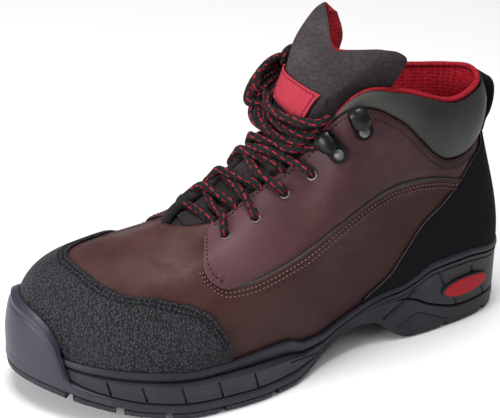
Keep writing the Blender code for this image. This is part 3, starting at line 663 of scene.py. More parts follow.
# fade paints shade on the sole and tread rubber towards the heel
soleRubber = mouldedRubber(
    "soleRubber", (0.0145, 0.0140, 0.0210), (0.0215, 0.0210, 0.0310), (0.0290, 0.0285, 0.0410),
    0.5, fade=0.7, gloss=0.28,
)
treadRubber = mouldedRubber(
    "treadRubber", (0.0145, 0.0140, 0.0210), (0.0235, 0.0230, 0.0340), (0.0330, 0.0325, 0.0460),
    0.6, pebble=0.6, fade=0.7, gloss=0.28,
)
# a lighter copy of the sole rubber: painted light on the toe, whose front faces the light
toeLitRubber = mouldedRubber(
    "toeLitRubber", (0.0230, 0.0225, 0.0330), (0.0300, 0.0295, 0.0440), (0.0370, 0.0365, 0.0540), 0.4,
)
badgeRubber = mouldedRubber(
    "badgeRubber", (0.27, 0.006, 0.012), (0.34, 0.009, 0.016), (0.40, 0.012, 0.022), 0.45, gloss=0.1,
)
laceBraid = braidedLace("laceBraid")
hookMetal = blackedMetal("hookMetal")
hookFoot = plainNap("hookFoot", (0.004, 0.004, 0.005), (0.010, 0.010, 0.011), 0.6, gloss=0.08)
rivetMetal = cloudedFinish("rivetMetal", (0.07, 0.07, 0.074), (0.18, 0.18, 0.188), 0.5, 300, Metallic=0.6)
pinkThread = threadFinish("pinkThread", (0.11, 0.052, 0.050), (0.27, 0.145, 0.14))
darkThread = threadFinish("darkThread", (0.010, 0.004, 0.005), (0.030, 0.014, 0.016))
capThread = threadFinish("capThread", (0.004, 0.004, 0.005), (0.016, 0.016, 0.018))
greyThread = threadFinish("greyThread", (0.03, 0.031, 0.034), (0.085, 0.088, 0.092))
redThread = threadFinish("redThread", (0.10, 0.003, 0.008), (0.18, 0.008, 0.016))
cutEdge = plainNap("cutEdge", (0.030, 0.031, 0.026), (0.060, 0.061, 0.052), 0.75, gloss=0.12)
eyeletPale = plainNap("eyeletPale", (0.24, 0.19, 0.20), (0.42, 0.36, 0.38), 0.5)
holeShade = plainNap("holeShade", (0.004, 0.003, 0.003), (0.008, 0.006, 0.006), 0.8)
footbedFelt = plainNap("footbedFelt", (0.018, 0.018, 0.018), (0.035, 0.035, 0.036), 0.85)
paleFloor = cloudedFinish("paleFloor", (0.93, 0.93, 0.93), (0.95, 0.95, 0.95), 0.6, 3)
print("materials ready")

# camera and light: the photograph's own viewpoint over a pale floor
view = {
    "turn": 27.6, "rise": 27.7, "roll": 1.12, "away": 776.0, "aim": (157.7, 0.0, 87.2),
    "focal": 1379.0, "width": 500, "sensor": 36,
}
studio = {
    "sky": 0.27, "floor": 8, "drop": 0.0004,
    "lights": (  # name, place, aim, size, power
        ("top", (0.12, 0.0, 2.0), (0.05, 0, 0), 0.9, 31.0),
        ("key", (1.25, 0.2, 0.5), (0.1, 0, 0.06), 0.7, 15.0),
        ("side", (-0.1, 0.85, 1.35), (0, 0, 0.08), 0.8, 3.0),
    ),
}


def standing(name, data, right, up, back, spot):  # puts a camera or a lamp at its place
    made = bpy.data.objects.new(name, data)
    bpy.context.scene.collection.objects.link(made)
    made.matrix_world = Matrix([(right[k], up[k], back[k], spot[k]) for k in range(3)] + [(0, 0, 0, 1)])
    return made


turn, rise, roll = (math.radians(view[key]) for key in ("turn", "rise", "roll"))
back = np.array((math.sin(turn) * math.cos(rise), math.cos(turn) * math.cos(rise), math.sin(rise)))
right = np.array((-math.cos(turn), math.sin(turn), 0.0))
above = np.cross(back, right)
tilted = math.cos(roll) * right + math.sin(roll) * above
upright = -math.sin(roll) * right + math.cos(roll) * above
cameraSpot = (np.array(view["aim"]) + view["away"] * back - bootCentre) * mm
cameraData = bpy.data.cameras.new("camera")
cameraData.sensor_width = view["sensor"]
cameraData.lens = view["sensor"] * view["focal"] / view["width"]
cameraData.clip_start = 0.01
bpy.context.scene.camera = standing("camera", cameraData, tilted, upright, back, cameraSpot)
bpy.context.scene.view_settings.view_transform = "Standard"

world = bpy.data.worlds.new("studio")
world.use_nodes = True
world.node_tree.nodes["Background"].inputs["Color"].default_value = (1.0, 1.0, 1.0, 1.0)
world.node_tree.nodes["Background"].inputs["Strength"].default_value = studio["sky"]
bpy.context.scene.world = world
for name, spot, aim, size, power in studio["lights"]:
    lampData = bpy.data.lights.new(name, "AREA")
    lampData.energy = power
    lampData.size = size
    away = unit(np.array(spot) - np.array(aim))
    sideways = unit(np.cross((0, 0, 1), away))
    standing(name, lampData, sideways, np.cross(away, sideways), away, spot)
deselect()
bpy.ops.mesh.primitive_plane_add(size=studio["floor"], location=(0, 0, -studio["drop"]))
floor = bpy.context.object
floor.name = "floor"
floor.data.materials.append(paleFloor)
floor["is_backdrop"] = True
print("camera and studio ready")

# tongue: rows up the boot, columns from medial to lateral
tongue = {
    "faces": (0.84, 0.92, 1.0), "under": 2.8, "low": 3.0, "top": 6.0, "pad": 1.0, "edge": 10.5,
    "stations": (7.5, 4.4, -0.25), "columns": 360, "rows": 200,
    "crown": ((4.5, 15.0), (5.0, 9.5), (6.0, 5.0), (7.5, 3.0)),
    "ridge": ((-0.85, 0.8), (-0.45, 0.97), (0.0, 1.0), (0.45, 0.97), (0.85, 0.8)),
    "shares": (0.0, 0.5, 0.8, 1.0, 1.5, 2.0, 2.5, 3.0, 3.2, 3.5, 4.0),
    # middle x z, shoulder x y z, edge x y z, then three shifts of the medial side and the edge's lift
    "free": (
        (130, 157, 124, 18, 155, 104, 27, 149, 4, 2, 8, 0),
        (123, 168, 109, 25, 169, 92, 31, 164, 9, 4, 11, 0.5),
        (112, 175, 101, 28, 178, 86, 35.5, 174, 5, 7, 1.5, 2.5),
        (105, 178, 97, 28, 183, 84, 36, 178, 0.5, 7.5, -6, 4),
    ),
    # where and how far the top edge is cut back
    "wing": (9.0, 2.0), "tip": (1.2, 0.5), "notch": (5.15, 0.8, 0.45),
    "dip": (15.2, 5.0, 0.7, 2.8),  # sewn dip in the top edge: row, column, width, depth
    "folds": ((13.9, 5.0, 0.25, 0.3, 0.7), (14.6, 4.6, 0.5, 0.25, 0.5)),  # row, column, lean, width, depth
    "lined": (0.515, 0.997, 0.2),
}
gusset = {
    "span": (8.95, 7.05), "start": (0.86, -3.6), "bend": (1.0, -3.4), "end": (1.2, 8.8, -0.5), "thick": 1.0,
}
tongueRows = []
for u in np.arange(*tongue["stations"]):
    lateral, medial = (skin(sign * u, np.array(tongue["faces"]), -tongue["under"]) for sign in (1, -1))
    crown = edgeAt(tongue["crown"], u) * unit(lastNormal(u, 1.0) + lastNormal(-u, 1.0))
    middle = (lateral[2] + medial[2]) / 2
    ridge = [middle + share * (lateral[2] - middle) + up * crown for share, up in tongue["ridge"]]
    tongueRows.append(np.concatenate((medial, ridge, lateral[::-1])))
for cx, cz, mx, my, mz, ex, ey, ez, on, up, far, wing in tongue["free"]:
    medial = ((ex + on / 2 - far, 3 - ey, ez + up), (mx + on, -my, mz + up))
    anchors = np.array((*medial, (cx, 0, cz), (mx, my, mz), (ex, ey, ez + wing)))
    tongueRows.append(alongPath(anchors, np.array(tongue["shares"])))
tongueGrid = np.array(tongueRows, float)
tongueLast = len(tongueGrid) - 1
tongueWide = extended(extended(tongueGrid).swapaxes(0, 1)).swapaxes(0, 1)


def splineWeights(t):
    first = -t + 2 * t ** 2 - t ** 3
    second = 2 - 5 * t ** 2 + 3 * t ** 3
    third = t + 4 * t ** 2 - 3 * t ** 3
    return [0.5 * weight for weight in (first, second, third, t ** 3 - t ** 2)]


def tongueSheet(row, column):
    row, column = np.broadcast_arrays(np.asarray(row, float), np.asarray(column, float))
    i = np.clip(np.floor(row).astype(int), 0, tongueLast - 1)
    k = np.clip(np.floor(column).astype(int), 0, len(tongue["shares"]) - 2)
    points = 0
    for a, up in enumerate(splineWeights(row - i)):
        for b, across in enumerate(splineWeights(column - k)):
            points = points + (up * across)[..., None] * tongueWide[i + a, k + b]
    return points


def tongueNormal(row, column):
    step = 0.05
    along = tongueSheet(row + step, column) - tongueSheet(row - step, column)
    across = tongueSheet(row, column + step) - tongueSheet(row, column - step)
    return unit(np.cross(across, along))


def tongueAt(row, column, offset):
    row, column = np.broadcast_arrays(np.asarray(row, float), np.asarray(column, float))
    lift = np.broadcast_to(offset, row.shape)[..., None]
    return tongueSheet(row, column) + tongueNormal(row, column) * lift


def tonguePlace(s, t):
    inner = s > 0.5
    edge = tongue["edge"]
    column = edge * np.where(inner, 2 - 2 * s, 2 * s)
    (wingAt, wingCut), (tipAt, tipCut) = tongue["wing"], tongue["tip"]
    notchAt, notchWide, notchCut = tongue["notch"]
    wing = np.clip((column - wingAt) / (edge - wingAt), 0, 1)
    tip = np.clip((tipAt - column) / tipAt, 0, 1)
    cutBack = wingCut * (1 - np.sqrt(1 - wing ** 2)) + tipCut * (1 - np.sqrt(1 - tip ** 2))
    row = t * (tongueLast - cutBack - notchCut * trough(column - notchAt, notchWide))
    thick = np.interp(row, (0, 13, tongueLast), (tongue["low"], tongue["low"], tongue["top"]))
    brim = roundEdge(np.minimum(column, edge - column), 0.9)
    brim = brim * roundEdge((1 - t) * tongueLast, 0.6) * roundEdge(t * tongueLast, 0.4)
    puff = tongue["pad"] * np.clip((row - 12) / 2, 0, 1) * brim
    dipRow, dipColumn, dipWide, dipDeep = tongue["dip"]
    puff = puff - dipDeep * trough(np.hypot((row - dipRow) * 1.3, (column - dipColumn) * 0.9), dipWide)
    for foldRow, foldColumn, lean, width, deep in tongue["folds"]:
        past = column - foldColumn
        puff = puff - deep * trough(row - foldRow + lean * past, width) * np.clip(past / 3, 0, 1)
    return tongueAt(row, column, np.where(inner, -thick * brim, puff))


def gussetPlace(s, t):  # the tongue runs on under the vamp
    u = gusset["span"][0] + (gusset["span"][1] - gusset["span"][0]) * s
    left, right, under = gusset["end"]
    end = tongueAt(1.0, left + (right - left) * s, under)
    share = t[:, None]
    curve = (1 - share) ** 2 * skin(u, *gusset["start"]) + 2 * share * (1 - share) * skin(u, *gusset["bend"])
    return curve + share ** 2 * end


tonguePad = outwards(wrapGrid("tonguePad", tongue["columns"], tongue["rows"], tonguePlace, closed=True))
tonguePad.data.materials.append(tongueCloth)
tonguePad.data.materials.append(tongueLining)
uvs = tonguePad.data.uv_layers.active.data
lineStart, lineStop, lineLow = tongue["lined"]
for polygon in tonguePad.data.polygons:
    across, along = np.mean([uvs[k].uv for k in polygon.loop_indices], axis=0)
    polygon.material_index = 1 if lineStart < across < lineStop and along > lineLow else 0
gussetPiece = wrapGrid("gusset", 60, 24, gussetPlace)
applied(gussetPiece, "SOLIDIFY", thickness=gusset["thick"] * mm, offset=0)
# painted shade: the gusset takes the darker facing cloth where it lies in shade between the laces
gussetPiece.data.materials.append(facingCloth)
fitted(joined("tonguePad", [tonguePad, outwards(gussetPiece)]), None, "tongue_cloth", "tongue")
print("tongue ready")

# laces: crossings between the eyelets, then the free runs over the tongue
lace = {"radius": 2.3, "sides": 16, "spacing": 1.2, "tip": 2.0, "tail": 0.95, "points": 32}


def laceTube(name, path, full=1.0):
    run = unit(np.gradient(path, axis=0))
    lift = np.zeros_like(run)
    ahead = np.array((0.0, 0.0, 1.0))
    for k in range(len(path)):  # carry one side along without twisting
        ahead = unit(ahead - run[k] * (ahead @ run[k]))
        lift[k] = ahead
    length = walkAlong(path)
    tip = roundEdge(np.minimum(length, length[-1] - length), lace["tip"])
    width = full * lace["radius"] * (0.25 + 0.75 * tip)
    piece = tube(name, path, np.cross(run, lift), lift, width, lace["sides"])
    for spot in piece.data.uv_layers.active.data:
        spot.uv = (spot.uv[0] * length[-1], spot.uv[1])
    return capHoles(piece)


laceSpots = (  # ("t", row, column, lift) on the tongue, ("f", station, height, lift) on a facing
    (
        ("t", 2.2, 8.6, 1), ("t", 2.1, 7.4, 2.6), ("t", 1.75, 6.3, 2.8), ("t", 1.35, 4.2, 2.6),
        ("t", 1.2, 3.0, 2.2), ("t", 1.1, 1.6, 1),
    ),
    (
        ("f", 6.48, 0.82, -2.6), ("f", 6.50, 0.835, 0.4), ("f", 6.62, 0.91, 0.2), ("f", 6.76, 0.99, 1.2),
        ("t", 2.9, 6.1, 2.7), ("t", 3.2, 4.4, 2.3), ("t", 3.5, 3.0, 2.0), ("t", 3.7, 1.5, 1),
    ),
    (
        ("t", 4.25, 8.6, 1), ("t", 4.15, 7.2, 2.8), ("t", 3.9, 5.9, 3.6), ("t", 3.65, 4.2, 6.2),
        ("t", 3.3, 3.1, 5.6), ("f", -6.85, 0.985, 0.6), ("f", -6.9, 0.93, 0.1), ("f", -6.72, 0.87, 0.1),
        ("f", -6.50, 0.825, 0.4), ("f", -6.48, 0.82, -2.6),
    ),
    (
        ("f", 5.95, 0.825, -2.6), ("f", 5.97, 0.84, 0.4), ("f", 6.12, 0.93, 0.2), ("f", 6.2, 0.99, 1.2),
        ("t", 5.25, 6.4, 2.7), ("t", 5.15, 5.2, 2.4), ("t", 5.3, 4.0, 2.2), ("t", 5.55, 2.9, 2.0),
        ("t", 5.7, 1.5, 1),
    ),
    (
        ("t", 6.5, 8.6, 1), ("t", 6.4, 7.2, 2.8), ("t", 5.95, 5.9, 3.4), ("t", 5.45, 4.2, 6.2),
        ("t", 5.2, 3.1, 5.8), ("f", -6.3, 0.985, 0.8), ("f", -6.35, 0.93, 0.1), ("f", -6.15, 0.87, 0.1),
        ("f", -5.97, 0.83, 0.4), ("f", -5.95, 0.825, -2.6),
    ),
    (
        ("f", 5.45, 0.885, -2.6), ("f", 5.47, 0.9, 0.4), ("f", 5.66, 0.97, 0.5), ("t", 7.1, 7.0, 3.2),
        ("t", 7.15, 5.7, 2.8), ("t", 7.25, 4.6, 2.5), ("t", 7.5, 3.2, 2.1), ("t", 7.8, 1.5, 1),
    ),
    (
        ("t", 8.6, 8.6, 1), ("t", 8.45, 7.3, 2.7), ("t", 8.25, 6.6, 2.8), ("t", 7.9, 5.4, 3.2),
        ("t", 7.65, 4.2, 5.6), ("t", 7.4, 3.1, 5.8), ("f", -5.72, 0.985, 1.6), ("f", -5.78, 0.94, 0.4),
        ("f", -5.6, 0.905, 0.1), ("f", -5.47, 0.89, 0.4), ("f", -5.45, 0.885, -2.6),
    ),
    (
        ("f", 4.88, 0.88, -2.6), ("f", 4.9, 0.895, 0.4), ("f", 5.1, 0.965, 0.6), ("t", 9.2, 7.2, 5.0),
        ("t", 8.75, 6.3, 6.6), ("t", 8.3, 5.0, 6.4), ("t", 8.0, 3.9, 5.6), ("t", 8.1, 2.8, 3.4),
        ("t", 8.3, 1.6, 1),
    ),
    (
        ("f", 4.42, 0.915, 3.2), ("f", 4.62, 0.95, 2.6), ("t", 10.5, 7.6, 4.6), ("t", 9.9, 7.0, 4.0),
        ("t", 9.45, 5.9, 3.6), ("t", 9.1, 4.6, 4.6), ("t", 8.8, 3.4, 6.4), ("f", -5.3, 0.99, 3.4),
        ("f", -5.34, 0.95, 1.4), ("f", -5.1, 0.905, 0.2), ("f", -4.9, 0.885, 0.4), ("f", -4.88, 0.88, -2.6),
    ),
)
laceTails = (  # from the free runs on to the medial hooks, and the loop that stands behind the tongue
    ((142, -26, 134.5), (138, -30, 135), (133, -34.5, 136.5), (127, -38.5, 140), (121, -41, 144)),
    ((134, -39, 150), (127, -39, 154), (119.5, -38.5, 156), (112, -38, 154.5), (107, -38, 150)),
    ((137, -32, 154), (130, -35, 158), (122, -36.5, 160), (114, -37.5, 158), (108, -38, 153)),
    (
        (138.8, -29, 140.9), (142.9, -27, 137.5), (145.9, -23, 134.4), (146.8, -17.5, 132.2),
        (145.8, -11.5, 131.1), (144.2, -5.5, 130.5), (142.4, 0, 130.6),
    ),
    ((141.2, -26, 137), (143.5, -21, 135.1), (144.4, -16, 133.6), (144.2, -11, 132.5), (142.9, -5, 131.7)),
    (
        (145.2, -27, 137.9), (141.2, -30, 142.8), (136.5, -32.5, 147.7), (131.4, -34.5, 150.7),
        (124.9, -36.5, 152.5), (117.6, -38, 152.9),
    ),
    (
        (143.1, -23, 136), (139.5, -27, 140.6), (135.2, -30, 144.8), (129.8, -33, 147.6),
        (123.7, -36, 149.1), (117.5, -38, 149.8),
    ),
    ((140.1, -19, 135.9), (136.4, -23, 138.5), (131.9, -27, 141.7), (126.9, -31, 144.2), (120.9, -35, 146)),
    (
        (118.7, -36, 153.8), (120.3, -34, 159.7), (119, -33, 164.1), (116.1, -32, 166.1),
        (110.4, -34, 164.2), (106, -37, 159), (106, -39, 151),
    ),
)


def laceSpot(spot):
    if spot[0] == "t":
        return tongueAt(spot[1], spot[2], spot[3])
    return skin(spot[1], spot[2], quarterOut + lace["radius"] + spot[3])


tubes = []
for spots in laceSpots:
    tubes.append(laceTube("strand", evenPath([laceSpot(spot) for spot in spots], lace["spacing"])))
for spots in laceTails:
    tubes.append(laceTube("strand", evenPath(spots, lace["spacing"]), lace["tail"]))
fitted(joined("laceCrossings", tubes), laceBraid, "lace_cord", "lace_crossings")

laceRuns = (  # row, column and lift on the tongue, then places in the air
    (
        ((11.0, 7.6, 3.4), (10.6, 7, 3.4), (10.25, 6, 3.4), (10.1, 5, 3.4), (10.3, 4, 4), (10.85, 3, 5.6)),
        ((142, -26, 134.5), (138, -30, 135)),
    ),
    (
        ((11.65, 7.6, 4.4), (11.35, 7.2, 4.8), (11.0, 6, 4.4), (10.95, 5, 4), (11.05, 4, 4), (11.4, 3, 6)),
        ((146, -27, 140), (142, -34, 144), (134, -39, 150), (127, -39, 154)),
    ),
    (
        ((12.3, 7.8, 4.2), (12, 7.2, 7.2), (11.7, 6, 6.8), (11.6, 5, 6.6), (11.65, 4, 6.6), (11.9, 3, 6.6)),
        ((142, -26, 150), (137, -32, 154), (130, -35, 158)),
    ),
)
for index, (onTongue, inAir) in enumerate(laceRuns):
    anchors = [tongueAt(*spot) for spot in onTongue] + [np.array(spot, float) for spot in inAir]
    path = evenPath(np.array(anchors), lace["spacing"])
    run = laceTube(f"laceRun{index + 1}", path)
    fitted(run, laceBraid, "lace_cord", f"lace_run_{index + 1}")
    line = (path - bootCentre) * mm

# upper: one shell on the last, leather outside and red mesh inside
upper = {
    "wall": 2.2, "columns": 480, "rows": 88, "reach": 0.45,
    "creases": (  # height, lean, station, depth, width
        (0.58, 0.20, 6.6, 0.35, 0.022), (0.64, 0.16, 6.8, 0.4, 0.022), (0.70, 0.12, 7.0, 0.35, 0.022),
        (0.63, -0.12, 9.6, 0.4, 0.022), (0.70, -0.10, 9.4, 0.4, 0.022), (0.42, 0.10, 3.7, 0.5, 0.018),
        (0.34, 0.12, 3.4, 0.5, 0.018), (0.42, -0.10, 12.3, 0.5, 0.018), (0.34, -0.12, 12.6, 0.5, 0.018),
    ),
}


def upperPlace(s, t):
    u = len(lastRows) * s
    sunk = 0
    for height, lean, station, deep, width in upper["creases"]:
        past = u - station
        sunk = sunk - deep * trough(t - height - lean * past, width) * trough(past, upper["reach"])
    return skin(u, t, sunk)


upperShell = wrapGrid("upperShell", upper["columns"], upper["rows"], upperPlace, closed=True, flip=True)
upperShell.data.materials.append(vampLeather)
upperShell.data.materials.append(liningMeshLit)
applied(
    upperShell, "SOLIDIFY", thickness=upper["wall"] * mm, offset=-1, material_offset=1, material_offset_rim=0,
)
fitted(upperShell, None, "brown_leather", "upper")
print("upper ready")


def spread(t):  # more rows close to the edges
    return 0.45 * t + 0.55 * (0.5 - 0.5 * np.cos(math.pi * t))


def panel(name, size, span, low, high, proud, sign=1):  # a sheet of leather between two lines on the last
    def place(s, t):
        share = spread(t)
        u = span[0] + (span[1] - span[0]) * s
        bottom, top = low(u), high(u)
        v = bottom + (top - bottom) * share
        tall = np.linalg.norm(lastAt(sign * u, top) - lastAt(sign * u, bottom), axis=-1)
        ends = np.minimum(s, 1 - s) * (span[1] - span[0]) * stationLength
        return skin(sign * u, v, proud(u, share * tall, (1 - share) * tall, ends))

    piece = wrapGrid(name, *size["grid"], place, flip=sign > 0)
    return applied(piece, "SOLIDIFY", thickness=size["thick"] * mm, offset=-1)


def onEdge(table, shift=0.0):
    return lambda u: edgeAt(table, u) + shift


def aboveRand(u):
    return heightAt(u, level("rand", catmull(lastRows, u)[..., 0]) + 0.2)


def skived(size, edge):  # thins towards a cut edge
    return size["skive"] + (size["out"] - size["skive"]) * roundEdge(edge, size["round"])


def dips(size, high):  # pulled in under each row of stitches
    return sum(deep * trough(high - at, width) for at, width, deep in size["rows"])


def cover(name, size, table, start):  # a panel that stands on the rand
    def top(u):
        return np.maximum(edgeAt(table, np.abs(u)), aboveRand(u) + 0.02)

    def proud(u, low, high, ends):
        return skived(size, np.minimum(high, ends + 0.4)) - dips(size, high)

    return panel(name, size, (start, table[-1][0]), aboveRand, top, proud)


# toe cap and heel counter
toeCap = {
    "out": 1.95, "skive": 0.5, "round": 1.6, "thick": 1.2, "grid": (420, 90),
    "rows": ((2.6, 0.7, 0.35), (5.2, 0.7, 0.35)),
}
counter = {
    "out": 1.95, "skive": 0.5, "round": 1.3, "thick": 1.2, "grid": (360, 90), "rows": ((2.4, 0.6, 0.25),),
}
capPanel = cover("toeCapPanel", toeCap, toeCapEdge, toeCapEdge[0][0])
fitted(capPanel, capGrain, "grained_cap", "toe_cap")
counterPanel = cover("heelCounterPanel", counter, counterEdge, -counterEdge[-1][0])
fitted(counterPanel, counterNap, "counter_leather", "heel_counter")

# collar pads
collar = {
    "out": 1.75, "skive": 0.35, "round": 1.6, "thick": 1.3, "grid": (240, 50), "top": 0.998,
    "bulge": 4.2, "full": (0.985, 0.2), "ripple": (0.22, 5.2, 1.3),
}


def padProud(u, low, high, ends):
    share = low / np.maximum(low + high, 0.001)
    full, tall = collar["full"]
    width = np.clip((full - edgeAt(padLowEdge, u)) / tall, 0.05, 1)
    deep, often, start = collar["ripple"]
    ripple = deep * np.sin(often * u + start) * np.sin(math.pi * share) * width
    bulge = collar["bulge"] * width * np.sin(math.pi * share) ** 0.8
    return skived(collar, np.minimum(low, ends + 0.3)) + bulge + ripple


def padTop(u):
    return np.full(np.shape(u), collar["top"])


for name, sign in bootSides:
    span = (padLowEdge[0][0], padLowEdge[-1][0])
    pad = panel(f"collarPad{name.title()}", collar, span, onEdge(padLowEdge), padTop, padProud, sign)
    fitted(pad, collarSoft, "collar_cloth", f"collar_pad_{name}")

# quarters carry the eyelets; along the lower seam the side of the vamp laps over them
quarter = {
    "out": quarterOut, "skive": 0.45, "round": 1.3, "thick": 1.0, "grid": (420, 90), "sink": 1.3,
    "rows": ((3.2, 0.6, 0.25),), "front": {"lateral": 7.03, "medial": 6.85}, "cornerCut": 0.12,
    "lapped": (5.55, 0.5, 7), "openFrom": 5.8,  # under the vamp up to here, a cut edge from here on
    "pulls": ((5.93, 0.006, 0.034, 4.5, 0.35), (6.08, 0.009, 0.03, 3.5, 0.25)),
}
lap = {
    "tall": 0.085, "over": 0.006, "span": (1.47, 5.95), "fade": (0.2, 0.75), "thick": 0.8, "grid": (360, 40),
    "out": 2.0, "round": 0.9, "under": 0.3, "rows": ((2.6, 0.6, 0.2), (5.4, 0.6, 0.2)),
}


def quarterProud(u, low, high, ends):
    start, fade, tall = quarter["lapped"]
    lapped = (1 - smooth((u - start) / fade)) * smooth(1 - low / tall)
    edge = np.minimum(high, ends + 0.4)
    edge = np.where(u > quarter["openFrom"], np.minimum(low, edge), edge)
    sunk = quarter["sink"] * lapped + dips(quarter, high)
    for station, lean, width, reach, deep in quarter["pulls"]:
        sunk = sunk + deep * trough(u - station - lean * low, width) * trough(low - 3, reach)
    return skived(quarter, edge) - sunk


def quarterTopMedial(u):  # the medial front corner is cut lower
    cutLow = edgeAt(quarterTopEdge, u) - quarter["cornerCut"] * smooth((u - 6.5) / 0.4)
    return np.maximum(cutLow, edgeAt(quarterLowEdge, u) + 0.004)


def lapFade(u):
    rear, front = lap["fade"]
    return smooth((u - lap["span"][0]) / rear) * smooth((lap["span"][1] - u) / front)


def lapProud(u, low, high, ends):
    slope = smooth(low / np.maximum(low + high, 0.001))
    rim = 0.55 + 0.45 * roundEdge(high, lap["round"])
    rise = (lap["out"] + lap["under"]) * lapFade(u) * (0.2 + 0.8 * slope) * rim
    return rise - lap["under"] - dips(lap, high)


for name, sign in bootSides:
    span = (quarterLowEdge[0][0], quarter["front"][name])
    top = onEdge(quarterTopEdge) if sign > 0 else quarterTopMedial
    side = panel(f"quarter{name.title()}", quarter, span, onEdge(quarterLowEdge), top, quarterProud, sign)
    fitted(side, quarterLeather, "burgundy_leather", f"quarter_{name}")
    foot = onEdge(quarterLowEdge, lap["over"] - lap["tall"])
    top = onEdge(quarterLowEdge, lap["over"])
    seam = panel(f"vampLap{name.title()}", lap, lap["span"], foot, top, lapProud, sign)
    fitted(seam, vampLeather, "brown_leather")
print("panels ready")

# trim: cut edges of the seams, the padded edge of the medial facing and the red binding of the collar
trim = {
    "seam": (1.68, 5.85, 260), "seamRadius": 0.7, "counter": (0.45, 2.92, 260), "counterRadius": 0.36,
    "facing": (7.95, 4.85, 230), "facingRadius": 2.7, "binding": (-4.7, 4.7, 460), "bindingRadius": 1.8,
}


def rope(name, path, radius, sides=8):  # thin round edge along a line
    run = unit(np.gradient(path, axis=0))
    across = unit(np.cross(run, (0.0, 0.0, 1.0)))
    place = np.arange(len(path))
    width = radius * (0.1 + 0.9 * roundEdge(np.minimum(place, place[::-1]), 3))
    return outwards(tube(name, path, across, np.cross(across, run), width, sides))


def below(table, u, distance, sign=1):  # height v a true distance under an edge
    step = math.copysign(0.01, distance)
    v = edgeAt(table, u)
    tall = np.linalg.norm(lastAt(sign * u, v) - lastAt(sign * u, v - step), axis=-1)
    return v - distance * abs(step) / tall


for name, sign in bootSides:
    u = np.linspace(*trim["seam"])
    line = skin(sign * u, edgeAt(quarterLowEdge, u) + lap["over"], -0.9 + 2.0 * np.sqrt(lapFade(u)))
    radius = trim["seamRadius"] + 0.5 * trough(u - 2.7, 0.6)
    fitted(rope(f"seamEdge{name.title()}", line, radius), cutEdge, "brown_leather")
    u = np.linspace(*trim["counter"])
    line = skin(sign * u, below(counterEdge, u, 0.4, sign), 1.25)
    fitted(rope(f"counterCut{name.title()}", line, trim["counterRadius"]), greyThread, "counter_leather")
u = np.linspace(*trim["facing"])
line = skin(-u, 1.0, 0.4 + 2.0 * trough(u - 7.2, 0.45) + 1.4 * trough(u - 5.66, 0.16))
radius = trim["facingRadius"] + 0.5 * trough(u - 7.1, 0.5)
fitted(rope("facingPadMedial", line, radius, 14), facingCloth, "tongue_cloth")
u = np.linspace(*trim["binding"])
line = skin(u, 1.0, -1.3)
line[:, 2] += 0.2
radius = trim["bindingRadius"] - 1.3 * smooth((np.abs(u) - 3.1) / 0.9)
fitted(rope("collarBinding", line, radius, 10), bindingCloth, "label_red")

# stitches: one rounded stitch, repeated along each seam
sewing = {
    "pink": (1.72, 6.38, 1200), "pinkRows": ((2.7, 1.8), (5.3, 1.5)), "pinkSink": 0.15,
    "facing": {"lateral": (4.35, 6.95, 700), "medial": (4.35, 6.45, 700)}, "facingHeight": 0.965,
    "front": {"lateral": (5.95, 6.98, 300), "medial": (5.95, 6.7, 300)}, "frontRow": 3.6,
    "pins": (1.35, 4.1, 700), "pinRows": (2.0, 5.4), "cap": (5.3, 10.9, 1200), "capRows": (2.6, 5.2),
    # pitch, length and thickness of a stitch
    "pinkSize": (2.45, 1.6, 0.8), "holeSize": (2.45, 0.8, 0.7), "darkSize": (2.9, 1.9, 0.8),
    "pinSize": (2.35, 1.2, 1.1), "capSize": (2.8, 2.1, 0.95),
}
deselect()
bpy.ops.mesh.primitive_uv_sphere_add(segments=6, ring_count=5, radius=1)
stitchShape = bpy.context.object
stitchVerts = pointsOf(stitchShape)[:, [2, 0, 1]]
stitchFaces = [list(p.vertices) for p in stitchShape.data.polygons]
bpy.data.objects.remove(stitchShape)


def stitches(name, lines, size, finish, slotName, start=0.5):
    pitch, long, thick = size
    shape = stitchVerts * (long / 2, thick / 2, thick / 2)
    bow = 0.1 * (1 - stitchVerts[:, :1] ** 2)
    verts, faces = [], []
    for points, normals in lines:
        walk = walkAlong(points)
        at = np.arange(pitch * start, walk[-1], pitch)
        ways = unit(pickAlong(at, walk, np.gradient(points, walk, axis=0)))
        ups = pickAlong(at, walk, normals)
        ups = unit(ups - ways * (ups * ways).sum(1, keepdims=True))
        for spot, way, up in zip(pickAlong(at, walk, points), ways, ups):
            base = len(verts) * len(stitchVerts)
            across = np.cross(up, way)
            verts.append(spot + shape[:, :1] * way + shape[:, 1:2] * across + (shape[:, 2:] + bow) * up)
            faces += [[base + k for k in face] for face in stitchFaces]
    mesh = bpy.data.meshes.new(name)
    mesh.from_pydata(((np.concatenate(verts) - bootCentre) * mm).tolist(), [], faces)
    piece = bpy.data.objects.new(name, mesh)
    bpy.context.scene.collection.objects.link(piece)
    pick(piece)
    bpy.ops.object.shade_smooth()
    return fitted(outwards(piece), finish, slotName)


def seamLine(u, v, offset):
    return skin(u, v, offset), lastNormal(u, v)


def beside(u, v, distance, sign):  # the line a true distance outside a curve on the last
    run = np.gradient(lastAt(sign * u, v), axis=0)
    out = np.reshape(distance, (-1, 1)) * unit(sign * np.cross(lastNormal(sign * u, v), run))
    along, rise = slopesAt(sign * u, v)
    along = sign * along / (2 * probe)
    rise = rise / (2 * probe)
    aa, ab, bb = ((one * two).sum(1) for one, two in ((along, along), (along, rise), (rise, rise)))
    ao, bo = (along * out).sum(1), (rise * out).sum(1)
    whole = aa * bb - ab * ab
    return u + (ao * bb - bo * ab) / whole, v + (bo * aa - ao * ab) / whole


